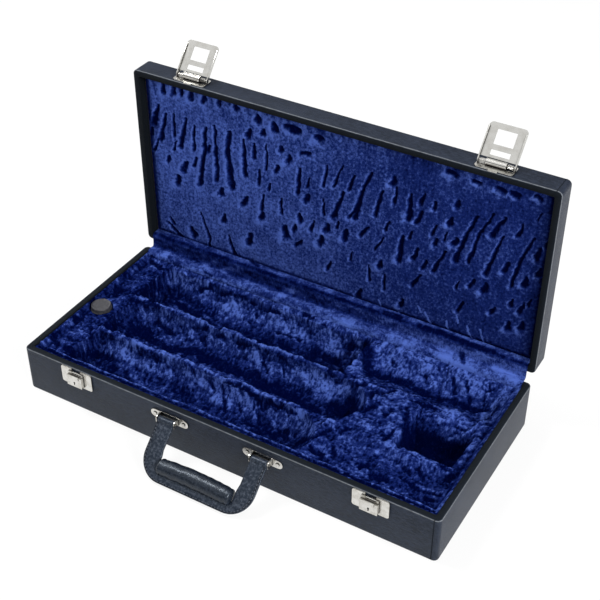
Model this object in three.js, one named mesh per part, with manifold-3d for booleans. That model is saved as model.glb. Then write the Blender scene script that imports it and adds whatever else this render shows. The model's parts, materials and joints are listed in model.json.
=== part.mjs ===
// Recorder case: a covered wooden tray and lid with a plush bed, two hasp locks, a strap
// handle and a grease pot. Millimetres, +X along the case, +Y back to the hinge, +Z up.
// The origin is the middle of the tray's bottom face, and the lid stands open.
import * as THREE from 'three';
import { mergeVertices } from 'three/addons/utils/BufferGeometryUtils.js';
import Module from 'manifold-3d';

const wasm = await Module();
wasm.setup();

// Tray and lid
const caseLength = 460;
const caseDepth = 207;
const trayHeight = 52;
const lidHeight = 25;
const coverThickness = 0.8;
const wallThickness = 7;
const wrapDepth = 10;
const cornerRadius = 5;
const edgeRadius = 2.5;
const rimBevel = 0.6;
const innerCornerRadius = 1;
const panelThickness = 4;
const closingGap = 0.6;
const fitGap = 0.3;
const overrun = 2;

// Plush bed
const bedGap = 0.4;
const ridgeDrop = 8;
const lipDrop = 4;
const channelBottom = 17;
const ridgeWidth = 6;
const frontLipWidth = 5;
const backLipWidth = 7.2;
const channelInset = 38;
const frontChannelInset = 150;
const middleChannelInset = 130;
const backChannelInset = 168;
const roundEnd = 30;
const squareEnd = 5;
const slopeCreaseDrop = 22;
const slopeEase = 22;
const pocketInset = 20;
const pocketLength = 64;
const pocketFront = -31;
const pocketBack = 20;
const pocketBottom = 14;
const pocketWall = 9;
const dishDepth = 6;
const dishFront = -88;
const dishBack = -37;
const dishEase = 12;
const potDish = 7;
const potDishRadius = 14;
const potDishEase = 10;

// Lid panel and velvet strip
const panelRecess = 9;
const panelCrown = 1.2;
const panelGap = 0.8;
const stripThickness = 0.8;
const stripEndInset = 8;
const stripCurl = 7;

// Rear hinges
const hingeInset = 80;
const hingePinBack = 6.2;
const hingePinRise = 2.6;
const hingePinRadius = 0.9;
const hingeBarrelRadius = 2;
const hingeBoreGap = 0.2;
const hingeWidth = 30;
const hingeMiddle = 9;
const hingeLeafThickness = 1.5;
const hingeLeafHeight = 18;
const hingeLeafDrop = 7;
const hingeStrutHeight = 6;
const hingePinEnd = 1;

// Rivets
const rivetHeadRadius = 2.2;
const rivetHeadHeight = 0.9;
const rivetShankRadius = 1.1;
const rivetHoleGap = 0.3;

// Locks
const lockInset = 66.4;
const lockPlateWidth = 37.5;
const lockPlateHeight = 20.5;
const lockPlateDrop = 0.5;
const lockPlateRadius = 2.5;
const plateThickness = 1;
const notchWidth = 10.5;
const notchHeight = 3;
const blockWidth = 18;
const blockDrop = 6.2;
const blockHeight = 12.4;
const blockReach = 5.3;
const blockLedgeHeight = 3;
const blockLedgeReach = 3;
const blockSkin = 0.9;
const blockTravel = 1.2;
const toothWidth = 11;
const toothHeight = 0.9;
const toothThickness = 0.7;
const toothReach = 5.9;
const tumblerRadius = 2.6;
const tumblerRise = 4;
const tumblerThickness = 1.7;
const keyholeRadius = 1.1;
const keyholeWidth = 1.1;
const keyholeHeight = 3;
const lockSpringPlace = 6;
const lockSpringRadius = 0.7;
const lockSpringWire = 0.4;
const lockSpringTurns = 4;
const lockSpringLength = 4.6;
const springTabHeight = 0.6;
const springPocketHalf = 1.5;

// Hasps
const haspPlateHeight = 15.5;
const haspPlateInset = 1.75;
const tongueWidth = 9.5;
const tongueLength = 2;
const haspPinRise = 10;
const haspPinReach = 3.5;
const haspPinRadius = 0.8;
const rollRadius = 3.2;
const rollLength = 20;
const haspLength = 36;
const haspWidth = 37;
const haspTopRadius = 4;
const haspThickness = 1;
const haspReach = 4.6;
const haspStart = 4;
const flangeThickness = 1.1;
const flangeLift = 1.7;
const flangeEnd = 32;
const earRadius = 1.8;
const crossBarTop = 11.6;
const crossBarBottom = 16.5;
const windowWidth = 19;
const windowBottom = 30.5;
const smallWindowTop = 6.6;
const lipHeight = 1.6;
const lipThickness = 0.9;
const haspSwing = 130;
const haspSpringRadius = 2.3;
const haspSpringWire = 0.7;
const haspSpringTurns = 4;
const haspSpringPitch = 1.3;

// Handle
const handlePlace = 52;
const bracketWidth = 43;
const bracketHeight = 9.5;
const bracketDrop = 11.8;
const earHeight = 8;
const earThickness = 1.2;
const earReach = 8.6;
const earGap = 0.5;
const handlePinReach = 6;
const handlePinRadius = 1.2;
const handlePinEnd = 0.8;
const rivetSpacing = 32.5;
const legWidth = 18;
const strapThickness = 4;
const loopRadius = 3.4;
const loopBoreGap = 0.2;
const handleReach = 56;
const handleOuterRadius = 25;
const handleInnerRadius = 3;
const gripStart = 31;
const gripRadius = 9;
const gripBite = 3;
const gripEndBevel = 1.6;
const handleDroop = 42;

// Grease pot
const potInset = 20;
const potY = -5;
const potRadius = 10.5;
const potBottom = 15;
const potShoulderDrop = 10;
const potNeckRadius = 8.8;
const potNeckHeight = 4.4;
const potWall = 1.6;
const capRadius = 11.2;
const capHeight = 6.4;
const capWall = 1.7;
const capRimHeight = 1.8;
const capRimStep = 0.6;
const capSeatGap = 0.5;
const capThreadGap = 0.4;
const potWellGap = 0.6;

// Finishes
const finishes = {
  leatherette: { color: 0x3a3f48, roughness: 0.62, metalness: 0 },
  velvet: { color: 0x1b2168, roughness: 0.95, metalness: 0 },
  nickel: { color: 0xd9d8d2, roughness: 0.22, metalness: 1 },
  leather: { color: 0x23252a, roughness: 0.45, metalness: 0 },
  board: { color: 0xb08d5f, roughness: 0.8, metalness: 0 },
  potPlastic: { color: 0x2b211c, roughness: 0.35, metalness: 0 },
};

const roundSegments = 4;
const barrelSegments = 20;
const coilSteps = 8;
const coilSides = 5;
const gapSamples = 24;
const halfLength = caseLength / 2;
const halfDepth = caseDepth / 2;
const bedHalfLength = halfLength - wallThickness - bedGap;
const bedHalfDepth = halfDepth - wallThickness - bedGap;
const ridgeTop = trayHeight - ridgeDrop;
const lipTop = trayHeight - lipDrop;
const slopeCrease = trayHeight - slopeCreaseDrop;
const channelHalfWidth = (2 * bedHalfDepth - frontLipWidth - backLipWidth - 2 * ridgeWidth) / 6;
const lockPlateTop = trayHeight - lockPlateDrop;
const blockTop = trayHeight - blockDrop;
const bracketRise = trayHeight - bracketDrop;
const potShoulder = trayHeight - potShoulderDrop;
const channelLeft = -halfLength + channelInset;
const frontChannelRight = halfLength - frontChannelInset;
const middleChannelRight = halfLength - middleChannelInset;
const backChannelRight = halfLength - backChannelInset;
const pocketRight = halfLength - pocketInset;
const pocketLeft = pocketRight - pocketLength;
const potX = -halfLength + potInset;
const hingePlace = halfLength - hingeInset;
const lockPlace = halfLength - lockInset;
const lockSpringPitch = (lockSpringLength - lockSpringWire) / lockSpringTurns;
const right = Math.PI / 2;
const degree = Math.PI / 180;

const recorderCase = new THREE.Group();
recorderCase.name = 'recorder_case';

// Solids from geometry and back
function solidOf(geometry) {
  const bare = geometry.clone();
  bare.deleteAttribute('normal');
  bare.deleteAttribute('uv');
  const merged = mergeVertices(bare);
  return new wasm.Manifold(new wasm.Mesh({
    numProp: 3,
    vertProperties: new Float32Array(merged.attributes.position.array),
    triVerts: new Uint32Array(merged.index.array),
  }));
}

function geometryOf(solid) {
  const mesh = solid.getMesh();
  const geometry = new THREE.BufferGeometry();
  geometry.setAttribute('position', new THREE.BufferAttribute(mesh.vertProperties, 3));
  geometry.setIndex(new THREE.BufferAttribute(mesh.triVerts, 1));
  const shown = geometry.toNonIndexed();
  shown.computeVertexNormals();
  return shown;
}

function joined(...geometries) {
  return geometryOf(geometries.map(solidOf).reduce((whole, one) => whole.add(one)));
}

function carved(geometry, ...cutters) {
  return geometryOf(cutters.map(solidOf).reduce((whole, one) => whole.subtract(one), solidOf(geometry)));
}

function shared(first, second) {
  return geometryOf(solidOf(first).intersect(solidOf(second)));
}

// Adds a named piece to a group
function addPiece(group, name, geometry, finish) {
  const mesh = new THREE.Mesh(geometry, new THREE.MeshStandardMaterial(finishes[finish]));
  mesh.name = name;
  group.add(mesh);
  return mesh;
}

// A box between two corners
function boxBetween(low, high) {
  const size = high.map((value, i) => value - low[i]);
  const geometry = new THREE.BoxGeometry(...size);
  return geometry.translate(...low.map((value, i) => value + size[i] / 2));
}

// A closed outline with rounded corners, as a shape
function roundedOutline(left, bottom, rightSide, top, radius) {
  const shape = new THREE.Shape();
  shape.absarc(rightSide - radius, bottom + radius, radius, -right, 0);
  shape.absarc(rightSide - radius, top - radius, radius, 0, right);
  shape.absarc(left + radius, top - radius, radius, right, 2 * right);
  shape.absarc(left + radius, bottom + radius, radius, 2 * right, 3 * right);
  return shape;
}

// An outline in X and Z, stood on the front wall between two distances out from it
function onWall(shape, near, far) {
  const geometry = new THREE.ExtrudeGeometry(shape, {
    depth: far - near,
    bevelEnabled: false,
    curveSegments: roundSegments,
  });
  return geometry.translate(0, 0, near).rotateX(right);
}

// A round bar along X, Y or Z, centred on a point
function bar(radius, length, axis, centre = [0, 0, 0]) {
  const geometry = new THREE.CylinderGeometry(radius, radius, length, barrelSegments);
  if (axis === 'x') geometry.rotateZ(right);
  if (axis === 'z') geometry.rotateX(right);
  return geometry.translate(...centre);
}

// An outline in Y and Z, carried along X from one place to another
function alongX(points, fromX, toX) {
  const shape = new THREE.Shape(points.map(([y, z]) => new THREE.Vector2(y, z)));
  const geometry = new THREE.ExtrudeGeometry(shape, { depth: toX - fromX, bevelEnabled: false });
  // The outline's own axes (y, z, depth) become (depth, y, z) by a change of axes
  geometry.applyMatrix4(new THREE.Matrix4().set(0, 0, 1, fromX, 1, 0, 0, 0, 0, 1, 0, 0, 0, 0, 0, 1));
  return geometry;
}

// A stack of rounded rectangles: each ring is its inset from the case's outside, its corner
// radius and its height
function ringStack(rings) {
  const positions = [];
  const faces = [];
  const count = 4 * (roundSegments + 1);
  for (const { inset, radius, z } of rings) {
    for (let corner = 0; corner < 4; corner++) {
      const signX = corner === 0 || corner === 3 ? 1 : -1;
      const signY = corner < 2 ? 1 : -1;
      for (let step = 0; step <= roundSegments; step++) {
        const angle = (corner + step / roundSegments) * right;
        positions.push(
          signX * (halfLength - inset - radius) + radius * Math.cos(angle),
          signY * (halfDepth - inset - radius) + radius * Math.sin(angle),
          z,
        );
      }
    }
  }
  for (let ring = 0; ring + 1 < rings.length; ring++) {
    for (let i = 0; i < count; i++) {
      const next = (i + 1) % count;
      const low = ring * count;
      const high = low + count;
      faces.push(low + i, low + next, high + next, low + i, high + next, high + i);
    }
  }
  const top = (rings.length - 1) * count;
  for (let i = 1; i + 1 < count; i++) {
    faces.push(0, i + 1, i);
    faces.push(top, top + i, top + i + 1);
  }
  const geometry = new THREE.BufferGeometry();
  geometry.setAttribute('position', new THREE.Float32BufferAttribute(positions, 3));
  geometry.setIndex(faces);
  return geometry;
}

// The outside of a tray or lid: its closed end at "end" with rounded edges, its rim at "rim"
function shellSolid(end, rim, inset, edge, bevel) {
  const towards = Math.sign(rim - end);
  const rings = [];
  for (let step = 0; step <= roundSegments; step++) {
    const angle = (step / roundSegments) * right;
    rings.push({
      inset: inset + edge * (1 - Math.sin(angle)),
      radius: cornerRadius - inset - edge * (1 - Math.sin(angle)),
      z: end + towards * edge * (1 - Math.cos(angle)),
    });
  }
  rings.push({ inset, radius: cornerRadius - inset, z: rim - towards * bevel });
  if (bevel) rings.push({ inset: inset + bevel, radius: cornerRadius - inset - bevel, z: rim });
  if (towards < 0) rings.reverse();
  return ringStack(rings);
}

function straightSolid(inset, radius, low, high) {
  return ringStack([{ inset, radius, z: low }, { inset, radius, z: high }]);
}

// The cover of a tray or lid: a skin outside, turned over the rim and down the inside
function coverGeometry(end, rim) {
  const towards = Math.sign(rim - end);
  const skinInside = end + towards * coverThickness;
  const rimInside = rim - towards * coverThickness;
  const wrapEnd = rim - towards * wrapDepth;
  const span = (a, b) => [Math.min(a, b), Math.max(a, b)];
  const outside = shellSolid(end, rim, 0, edgeRadius, rimBevel);
  const boards = shellSolid(skinInside, rimInside, coverThickness, edgeRadius - coverThickness, 0);
  const mouth = straightSolid(wallThickness, innerCornerRadius, ...span(skinInside, rim + towards * overrun));
  const wrapOuter = straightSolid(wallThickness - coverThickness, innerCornerRadius + coverThickness,
    ...span(wrapEnd, rim - towards * rimBevel));
  const skin = solidOf(outside).subtract(solidOf(boards)).add(solidOf(wrapOuter));
  return geometryOf(skin.subtract(solidOf(mouth)));
}

// The boards of a tray or lid, named by side, and its end panel
function addBoards(group, prefix, endName, end, rim) {
  const towards = Math.sign(rim - end);
  const outer = coverThickness + fitGap;
  const inner = wallThickness - coverThickness - fitGap;
  const panelOuter = end + towards * outer;
  const panelInner = panelOuter + towards * panelThickness;
  const low = Math.min(panelInner + towards * fitGap, rim - towards * outer);
  const high = Math.max(panelInner + towards * fitGap, rim - towards * outer);
  const envelope = shellSolid(panelOuter, rim - towards * outer, outer, edgeRadius - outer, 0);
  const x = [halfLength - outer, halfLength - inner];
  const y = [halfDepth - outer, halfDepth - inner];
  const sideEnd = y[1] - fitGap;
  const sides = {
    front: boxBetween([-x[0], -y[0], low], [x[0], -y[1], high]),
    back: boxBetween([-x[0], y[1], low], [x[0], y[0], high]),
    left: boxBetween([-x[0], -sideEnd, low], [-x[1], sideEnd, high]),
    right: boxBetween([x[1], -sideEnd, low], [x[0], sideEnd, high]),
  };
  for (const [side, geometry] of Object.entries(sides)) {
    addPiece(group, `${prefix}_${side}_board`, shared(geometry, envelope), 'board');
  }
  const panel = boxBetween([-x[0], -y[0], Math.min(panelOuter, panelInner)],
    [x[0], y[0], Math.max(panelOuter, panelInner)]);
  addPiece(group, endName, shared(panel, envelope), 'board');
  return panelInner;
}

// A smooth step from 0 to 1 while a value goes from one bound to another
function ease(from, to, value) {
  const share = Math.min(1, Math.max(0, (value - from) / (to - from)));
  return share * share * (3 - 2 * share);
}

// The three long channels, front to back, each with its middle and its ends
const frontChannelMiddle = -bedHalfDepth + frontLipWidth + channelHalfWidth;
const channelPitch = 2 * channelHalfWidth + ridgeWidth;
const middleChannelMiddle = frontChannelMiddle + channelPitch;
const backChannelMiddle = middleChannelMiddle + channelPitch;
const channels = [
  { middle: frontChannelMiddle, leftEnd: squareEnd, rightEnd: roundEnd, to: frontChannelRight },
  { middle: middleChannelMiddle, leftEnd: roundEnd, rightEnd: roundEnd, to: middleChannelRight },
  { middle: backChannelMiddle, leftEnd: squareEnd, rightEnd: squareEnd, to: backChannelRight },
];

// How far a point is from the nearest edge of a box, inside it
function insideBox(x, y, left, rightSide, front, back) {
  return Math.min(x - left, rightSide - x, y - front, back - y);
}

// The bed's height: a flat top with lips, less half-round channels, a slope, a pocket and dishes
function bedHeight(x, y) {
  const backEdge = channels[2].middle + channelHalfWidth;
  let height = ridgeTop;
  height += (lipTop - ridgeTop) * (1 - ease(0, frontLipWidth, y + bedHalfDepth));
  height += (lipTop - ridgeTop) * ease(backEdge, bedHalfDepth, y);
  for (const channel of channels) {
    const leftReach = (channelLeft + channel.leftEnd - x) / channel.leftEnd;
    const rightReach = (x - channel.to + channel.rightEnd) / channel.rightEnd;
    const reach = Math.hypot(Math.max(leftReach, rightReach, 0), (y - channel.middle) / channelHalfWidth);
    const depth = Math.sqrt(Math.max(0, 1 - reach * reach)) * (ridgeTop - channelBottom);
    if (reach < 1) height = Math.min(height, ridgeTop - depth);
  }
  const slopeStart = channels[1].middle + channelHalfWidth + ridgeWidth;
  const creaseAt = channels[2].middle;
  if (x > backChannelRight && y > slopeStart) {
    const along = ease(backChannelRight, backChannelRight + slopeEase, x)
      * (1 - ease(bedHalfLength - slopeEase / 2, bedHalfLength, x));
    const down = y < creaseAt ? ease(slopeStart, creaseAt, y) : 1 - ease(creaseAt, bedHalfDepth, y);
    const rim = y < creaseAt ? ridgeTop : lipTop;
    height = rim - (rim - slopeCrease) * down * along;
  }
  const pocket = ease(0, pocketWall, insideBox(x, y, pocketLeft, pocketRight, pocketFront, pocketBack));
  const dish = ease(0, dishEase, insideBox(x, y, frontChannelRight, bedHalfLength, dishFront, dishBack));
  const nearPot = Math.hypot(x - potX, y - potY) - potDishRadius;
  height -= pocket * (height - pocketBottom) + dish * dishDepth * (x > frontChannelRight ? 1 : 0);
  return height - potDish * (1 - ease(0, potDishEase, nearPot));
}

// Where the bed's grid lines run: across at the channels' own angles, along at chosen shares and
// at the pocket's walls
const bedRowAngles = 8;
const bedColumnShares = [-1, -0.956, -0.912, -0.88, -0.862, -0.84, -0.8, -0.755, -0.72, -0.5, -0.25, 0, 0.14,
  0.2, 0.245, 0.268, 0.282, 0.3, 0.33, 0.36, 0.39, 0.42, 0.45, 0.5, 0.56, 0.62, 0.8, 0.97, 1];

function bedColumns() {
  const columns = bedColumnShares.map((share) => share * bedHalfLength);
  for (const inset of [0, pocketWall / 2, pocketWall]) {
    columns.push(pocketLeft + inset, pocketRight - inset);
  }
  return columns.sort((first, second) => first - second);
}

function bedRows() {
  const rows = [-bedHalfDepth];
  for (const channel of channels) {
    for (let step = 0; step <= bedRowAngles; step++) {
      rows.push(channel.middle + channelHalfWidth * Math.sin((2 * step / bedRowAngles - 1) * right));
    }
  }
  rows.push(bedHalfDepth);
  return rows;
}

// A closed solid under a height field: the field on top, straight sides and a flat bottom
function fieldSolid(columns, rows, heightAt, bottom) {
  const positions = [];
  const faces = [];
  const wide = columns.length;
  const deep = rows.length;
  const at = (i, j) => j * wide + i;
  rows.forEach((y) => columns.forEach((x) => positions.push(x, y, heightAt(x, y))));
  for (let j = 0; j + 1 < deep; j++) {
    for (let i = 0; i + 1 < wide; i++) {
      faces.push(at(i, j), at(i + 1, j), at(i + 1, j + 1), at(i, j), at(i + 1, j + 1), at(i, j + 1));
    }
  }
  const border = [];
  for (let i = 0; i + 1 < wide; i++) border.push(at(i, 0));
  for (let j = 0; j + 1 < deep; j++) border.push(at(wide - 1, j));
  for (let i = wide - 1; i > 0; i--) border.push(at(i, deep - 1));
  for (let j = deep - 1; j > 0; j--) border.push(at(0, j));
  const below = positions.length / 3;
  for (const index of border) positions.push(positions[3 * index], positions[3 * index + 1], bottom);
  const centre = positions.length / 3;
  positions.push(0, 0, bottom);
  border.forEach((index, i) => {
    const next = (i + 1) % border.length;
    faces.push(index, below + i, below + next, index, below + next, border[next]);
    faces.push(centre, below + next, below + i);
  });
  const geometry = new THREE.BufferGeometry();
  geometry.setAttribute('position', new THREE.Float32BufferAttribute(positions, 3));
  geometry.setIndex(faces);
  return geometry;
}

// Tray
const trayPanelTop = addBoards(recorderCase, 'tray', 'tray_bottom_board', 0, trayHeight);
addPiece(recorderCase, 'tray_cover', coverGeometry(0, trayHeight), 'leatherette');
const bedBottom = trayPanelTop + fitGap;
const potWell = bar(potRadius + potWellGap, lipTop, 'z', [potX, potY, potBottom - fitGap + lipTop / 2]);
addPiece(recorderCase, 'plush_bed',
  carved(fieldSolid(bedColumns(), bedRows(), bedHeight, bedBottom), potWell), 'velvet');

// Lid, drawn closed on the tray and turned open about the hinge pins
const hingeY = halfDepth + hingePinBack;
const hingeZ = trayHeight + hingePinRise;
const lidTurned = new THREE.Group();
lidTurned.position.set(0, hingeY, hingeZ);
lidTurned.rotation.x = -right;
recorderCase.add(lidTurned);
const lid = new THREE.Group();
lid.position.set(0, -hingeY, -hingeZ);
lidTurned.add(lid);
const lidRim = trayHeight + closingGap;
const lidTop = lidRim + lidHeight;
const lidPanelInner = addBoards(lid, 'lid', 'lid_top_board', lidTop, lidRim);
addPiece(lid, 'lid_cover', coverGeometry(lidTop, lidRim), 'leatherette');

// Padded lid panel: a slab with a low crown that hangs from the top board
const panelHalfLength = halfLength - wallThickness - panelGap;
const panelHalfDepth = halfDepth - wallThickness - panelGap;
const panelShares = [-1, -0.96, -0.9, -0.5, 0, 0.5, 0.9, 0.96, 1];

function panelHeight(x, y) {
  const edge = Math.min(panelHalfLength - Math.abs(x), panelHalfDepth - Math.abs(y));
  return lidPanelInner - fitGap - (lidRim + panelRecess) - panelCrown * (1 - ease(0, wrapDepth, edge));
}

const panelSolid = fieldSolid(
  panelShares.map((share) => share * panelHalfLength),
  panelShares.map((share) => share * panelHalfDepth),
  panelHeight,
  0,
);
addPiece(lid, 'lid_panel', panelSolid.rotateX(2 * right).translate(0, 0, lidPanelInner - fitGap), 'velvet');

// Velvet strip over the hinge line, from inside the tray over its rim and into the lid
function addHingeStrip() {
  const inner = halfDepth - wallThickness - fitGap;
  const low = trayHeight + fitGap;
  const rimFace = hingeY + lidRim - hingeZ;
  const lidLow = hingeZ + hingePinBack + wallThickness + fitGap;
  const face = rimFace - fitGap;
  const half = halfLength - stripEndInset;
  const outline = [
    [inner - stripThickness, low],
    [face - stripThickness, low],
    [face, low],
    [face, lidLow],
    [rimFace + stripCurl, lidLow],
    [rimFace + stripCurl, lidLow + stripThickness],
    [face - stripThickness, lidLow + stripThickness],
    [face - stripThickness, low + stripThickness],
    [inner - stripThickness, low + stripThickness],
  ];
  addPiece(recorderCase, 'hinge_strip', alongX(outline, -half, half), 'velvet');
}
addHingeStrip();

// A rivet on a wall plate: a domed head outside and a short shank in the plate's hole
function rivetGeometry(plateFace) {
  const points = [new THREE.Vector2(0, fitGap)];
  points.push(new THREE.Vector2(rivetShankRadius, fitGap));
  points.push(new THREE.Vector2(rivetShankRadius, plateFace + fitGap));
  for (let step = 0; step <= roundSegments; step++) {
    const angle = (step / roundSegments) * right;
    points.push(new THREE.Vector2(rivetHeadRadius * Math.cos(angle),
      plateFace + fitGap + rivetHeadHeight * Math.sin(angle)));
  }
  points[points.length - 1].x = 0;
  // The profile's axis is Y, and the rivet points out from the wall
  return new THREE.LatheGeometry(points, barrelSegments / 2).rotateX(2 * right);
}

// Rear hinges: drawn on a wall plane at y = 0, with their pin behind and above it
const leafFace = fitGap + hingeLeafThickness;
const hingeRivetPlace = (hingeWidth / 2 + hingeMiddle / 2) / 2;

// A leaf: its plate, and struts from near to far height that carry its barrels
function leafGeometry(plateLow, plateHigh, nearHeight, farHeight, segments) {
  const half = hingeWidth / 2;
  const pieces = [boxBetween([-half, fitGap, plateLow], [half, leafFace, plateHigh])];
  for (const [from, to] of segments) {
    pieces.push(alongX([[fitGap, farHeight], [leafFace, farHeight],
      [hingePinBack + hingeBarrelRadius / 2, hingeZ], [hingePinBack - hingeBarrelRadius / 2, hingeZ],
      [leafFace, nearHeight], [fitGap, nearHeight]], from, to));
    pieces.push(bar(hingeBarrelRadius, to - from, 'x', [(from + to) / 2, hingePinBack, hingeZ]));
  }
  const bore = bar(hingePinRadius + hingeBoreGap, hingeWidth + overrun, 'x', [0, hingePinBack, hingeZ]);
  const rivetHeight = (plateLow + plateHigh) / 2;
  const holes = [-1, 1].map((side) => bar(rivetShankRadius + rivetHoleGap, overrun + 2 * leafFace, 'y',
    [side * hingeRivetPlace, 0, rivetHeight]));
  return carved(joined(...pieces), bore, ...holes);
}

function addHinge(side, place) {
  const half = hingeWidth / 2;
  const middle = hingeMiddle / 2;
  const trayLeafTop = trayHeight - hingeLeafDrop;
  const lidLeafLow = lidRim + hingeLeafDrop;
  const lidLeafTop = lidTop - edgeRadius - fitGap;
  const trayLeafLow = trayLeafTop - hingeLeafHeight;
  const outerSegments = [[-half, -middle - fitGap], [middle + fitGap, half]];
  const trayLeaf = leafGeometry(trayLeafLow, trayLeafTop, trayLeafTop, trayLeafTop - hingeStrutHeight,
    outerSegments);
  const lidLeaf = leafGeometry(lidLeafLow, lidLeafTop, lidLeafLow, lidLeafLow + hingeStrutHeight,
    [[-middle, middle]]);
  addPiece(recorderCase, `hinge_tray_leaf_${side}`, trayLeaf, 'nickel').position.set(place, halfDepth, 0);
  addPiece(lid, `hinge_lid_leaf_${side}`, lidLeaf, 'nickel').position.set(place, halfDepth, 0);
  addPiece(recorderCase, `hinge_pin_${side}`,
    bar(hingePinRadius, hingeWidth + 2 * hingePinEnd, 'x', [place, hingeY, hingeZ]), 'nickel');
  for (const [index, sign] of [[1, -1], [2, 1]]) {
    const x = place + sign * hingeRivetPlace;
    addPiece(recorderCase, `tray_hinge_rivet_${side}_${index}`,
      rivetGeometry(leafFace).rotateX(2 * right), 'nickel')
      .position.set(x, halfDepth, (trayLeafLow + trayLeafTop) / 2);
    addPiece(lid, `lid_hinge_rivet_${side}_${index}`,
      rivetGeometry(leafFace).rotateX(2 * right), 'nickel')
      .position.set(x, halfDepth, (lidLeafLow + lidLeafTop) / 2);
  }
}

// A coil along X about its own axis: one unbroken tube of round wire
function coilGeometry(radius, wire, turns, pitch) {
  const steps = coilSteps * turns;
  const sides = coilSides;
  const positions = [];
  const faces = [];
  for (let step = 0; step <= steps; step++) {
    const angle = (step / steps) * turns * 4 * right;
    const x = (step / steps) * turns * pitch;
    for (let side = 0; side < sides; side++) {
      const round = (side / sides) * 4 * right;
      const reach = radius + (wire / 2) * Math.cos(round);
      positions.push(x + (wire / 2) * Math.sin(round), reach * Math.cos(angle), reach * Math.sin(angle));
    }
  }
  for (let step = 0; step < steps; step++) {
    for (let side = 0; side < sides; side++) {
      const next = (side + 1) % sides;
      const a = step * sides;
      const b = a + sides;
      faces.push(a + side, b + side, b + next, a + side, b + next, a + next);
    }
  }
  const end = steps * sides;
  for (let side = 1; side + 1 < sides; side++) {
    faces.push(0, side, side + 1);
    faces.push(end, end + side + 1, end + side);
  }
  const geometry = new THREE.BufferGeometry();
  geometry.setAttribute('position', new THREE.Float32BufferAttribute(positions, 3));
  geometry.setIndex(faces);
  return geometry;
}

// The least gap between neighbouring turns of a coil, measured on its wire's middle line
function coilGap(radius, wire, turns, pitch) {
  const samples = gapSamples * turns;
  const points = Array.from({ length: samples + 1 }, (_, i) => {
    const angle = (i / samples) * turns * 4 * right;
    return new THREE.Vector3((i / samples) * turns * pitch, radius * Math.cos(angle),
      radius * Math.sin(angle));
  });
  let least = Infinity;
  for (let i = 0; i <= samples; i++) {
    for (let j = i + gapSamples / 2; j <= samples; j++) {
      least = Math.min(least, points[i].distanceTo(points[j]) - wire);
    }
  }
  return least;
}

// Locks: drawn about the lock's middle, with distances out from the front wall
const plateFace = fitGap + plateThickness;
const blockNear = plateFace + fitGap;
const blockBottom = blockTop - blockHeight;
const tumblerZ = blockBottom + tumblerRise;
const springTabZ = blockBottom + blockTravel + 2 * fitGap;
const springPocketTop = springTabZ + springTabHeight + fitGap + lockSpringLength + fitGap;

function lockPlateGeometry() {
  const half = lockPlateWidth / 2;
  const outline = roundedOutline(-half, lockPlateTop - lockPlateHeight, half, lockPlateTop, lockPlateRadius);
  const plate = onWall(outline, fitGap, plateFace);
  const notch = boxBetween([-notchWidth / 2, -plateFace - overrun, lockPlateTop - notchHeight],
    [notchWidth / 2, overrun, lockPlateTop + overrun]);
  const tabHalf = springPocketHalf - fitGap;
  const tab = boxBetween([lockSpringPlace - tabHalf, -blockReach + blockSkin + fitGap, springTabZ],
    [lockSpringPlace + tabHalf, -plateFace + plateThickness / 2, springTabZ + springTabHeight]);
  return joined(carved(plate, notch), tab);
}

function keyholeShape() {
  const shape = new THREE.Shape();
  const start = -right + Math.asin(keyholeWidth / 2 / keyholeRadius);
  shape.absarc(0, 0, keyholeRadius, start, start + 4 * right - 2 * (start + right));
  shape.lineTo(-keyholeWidth / 2, -keyholeHeight);
  shape.lineTo(keyholeWidth / 2, -keyholeHeight);
  return shape;
}

function lockSlideGeometry() {
  const half = blockWidth / 2;
  const body = boxBetween([-half, -blockReach, blockBottom], [half, -blockNear, blockTop]);
  const ledge = boxBetween([-half + fitGap, -blockLedgeReach, blockTop - overrun],
    [half - fitGap, -blockNear, blockTop + blockLedgeHeight]);
  const tooth = boxBetween([-toothWidth / 2, -toothReach, blockTop - overrun],
    [toothWidth / 2, -toothReach + toothThickness, blockTop + toothHeight]);
  const toothRoot = boxBetween([-toothWidth / 2, -toothReach, blockTop - overrun - toothThickness],
    [toothWidth / 2, -blockReach + toothThickness, blockTop - overrun + toothThickness]);
  const seat = bar(tumblerRadius + fitGap, blockReach - blockSkin - blockNear + overrun, 'y',
    [0, -(blockNear - overrun + blockReach - blockSkin) / 2, tumblerZ]);
  const keyhole = onWall(keyholeShape(), 0, blockReach + overrun).translate(0, 0, tumblerZ + keyholeRadius);
  const pocketFloor = -blockReach + blockSkin;
  const pocket = boxBetween([lockSpringPlace - springPocketHalf, pocketFloor, springTabZ - fitGap],
    [lockSpringPlace + springPocketHalf, overrun, springPocketTop]);
  return carved(joined(body, ledge, tooth, toothRoot), seat, keyhole, pocket);
}

function tumblerGeometry() {
  const far = blockReach - blockSkin - fitGap;
  const disc = bar(tumblerRadius, tumblerThickness, 'y', [0, -far + tumblerThickness / 2, 0]);
  const slot = boxBetween([-keyholeWidth / 2, -far - overrun, -keyholeRadius],
    [keyholeWidth / 2, -far + tumblerThickness / 2, keyholeRadius]);
  return carved(disc, slot);
}

function addLock(side, place) {
  addPiece(recorderCase, `lock_plate_${side}`, lockPlateGeometry(), 'nickel')
    .position.set(place, -halfDepth, 0);
  addPiece(recorderCase, `lock_slide_${side}`, lockSlideGeometry(), 'nickel')
    .position.set(place, -halfDepth, 0);
  addPiece(recorderCase, `lock_tumbler_${side}`, tumblerGeometry(), 'nickel')
    .position.set(place, -halfDepth, tumblerZ);
  const spring = coilGeometry(lockSpringRadius, lockSpringWire, lockSpringTurns, lockSpringPitch)
    .rotateY(-right);
  const springZ = springTabZ + springTabHeight + fitGap + lockSpringWire / 2;
  addPiece(recorderCase, `lock_spring_${side}`, spring, 'nickel')
    .position.set(place + lockSpringPlace, -halfDepth - (blockNear + blockReach - blockSkin) / 2, springZ);
}

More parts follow.
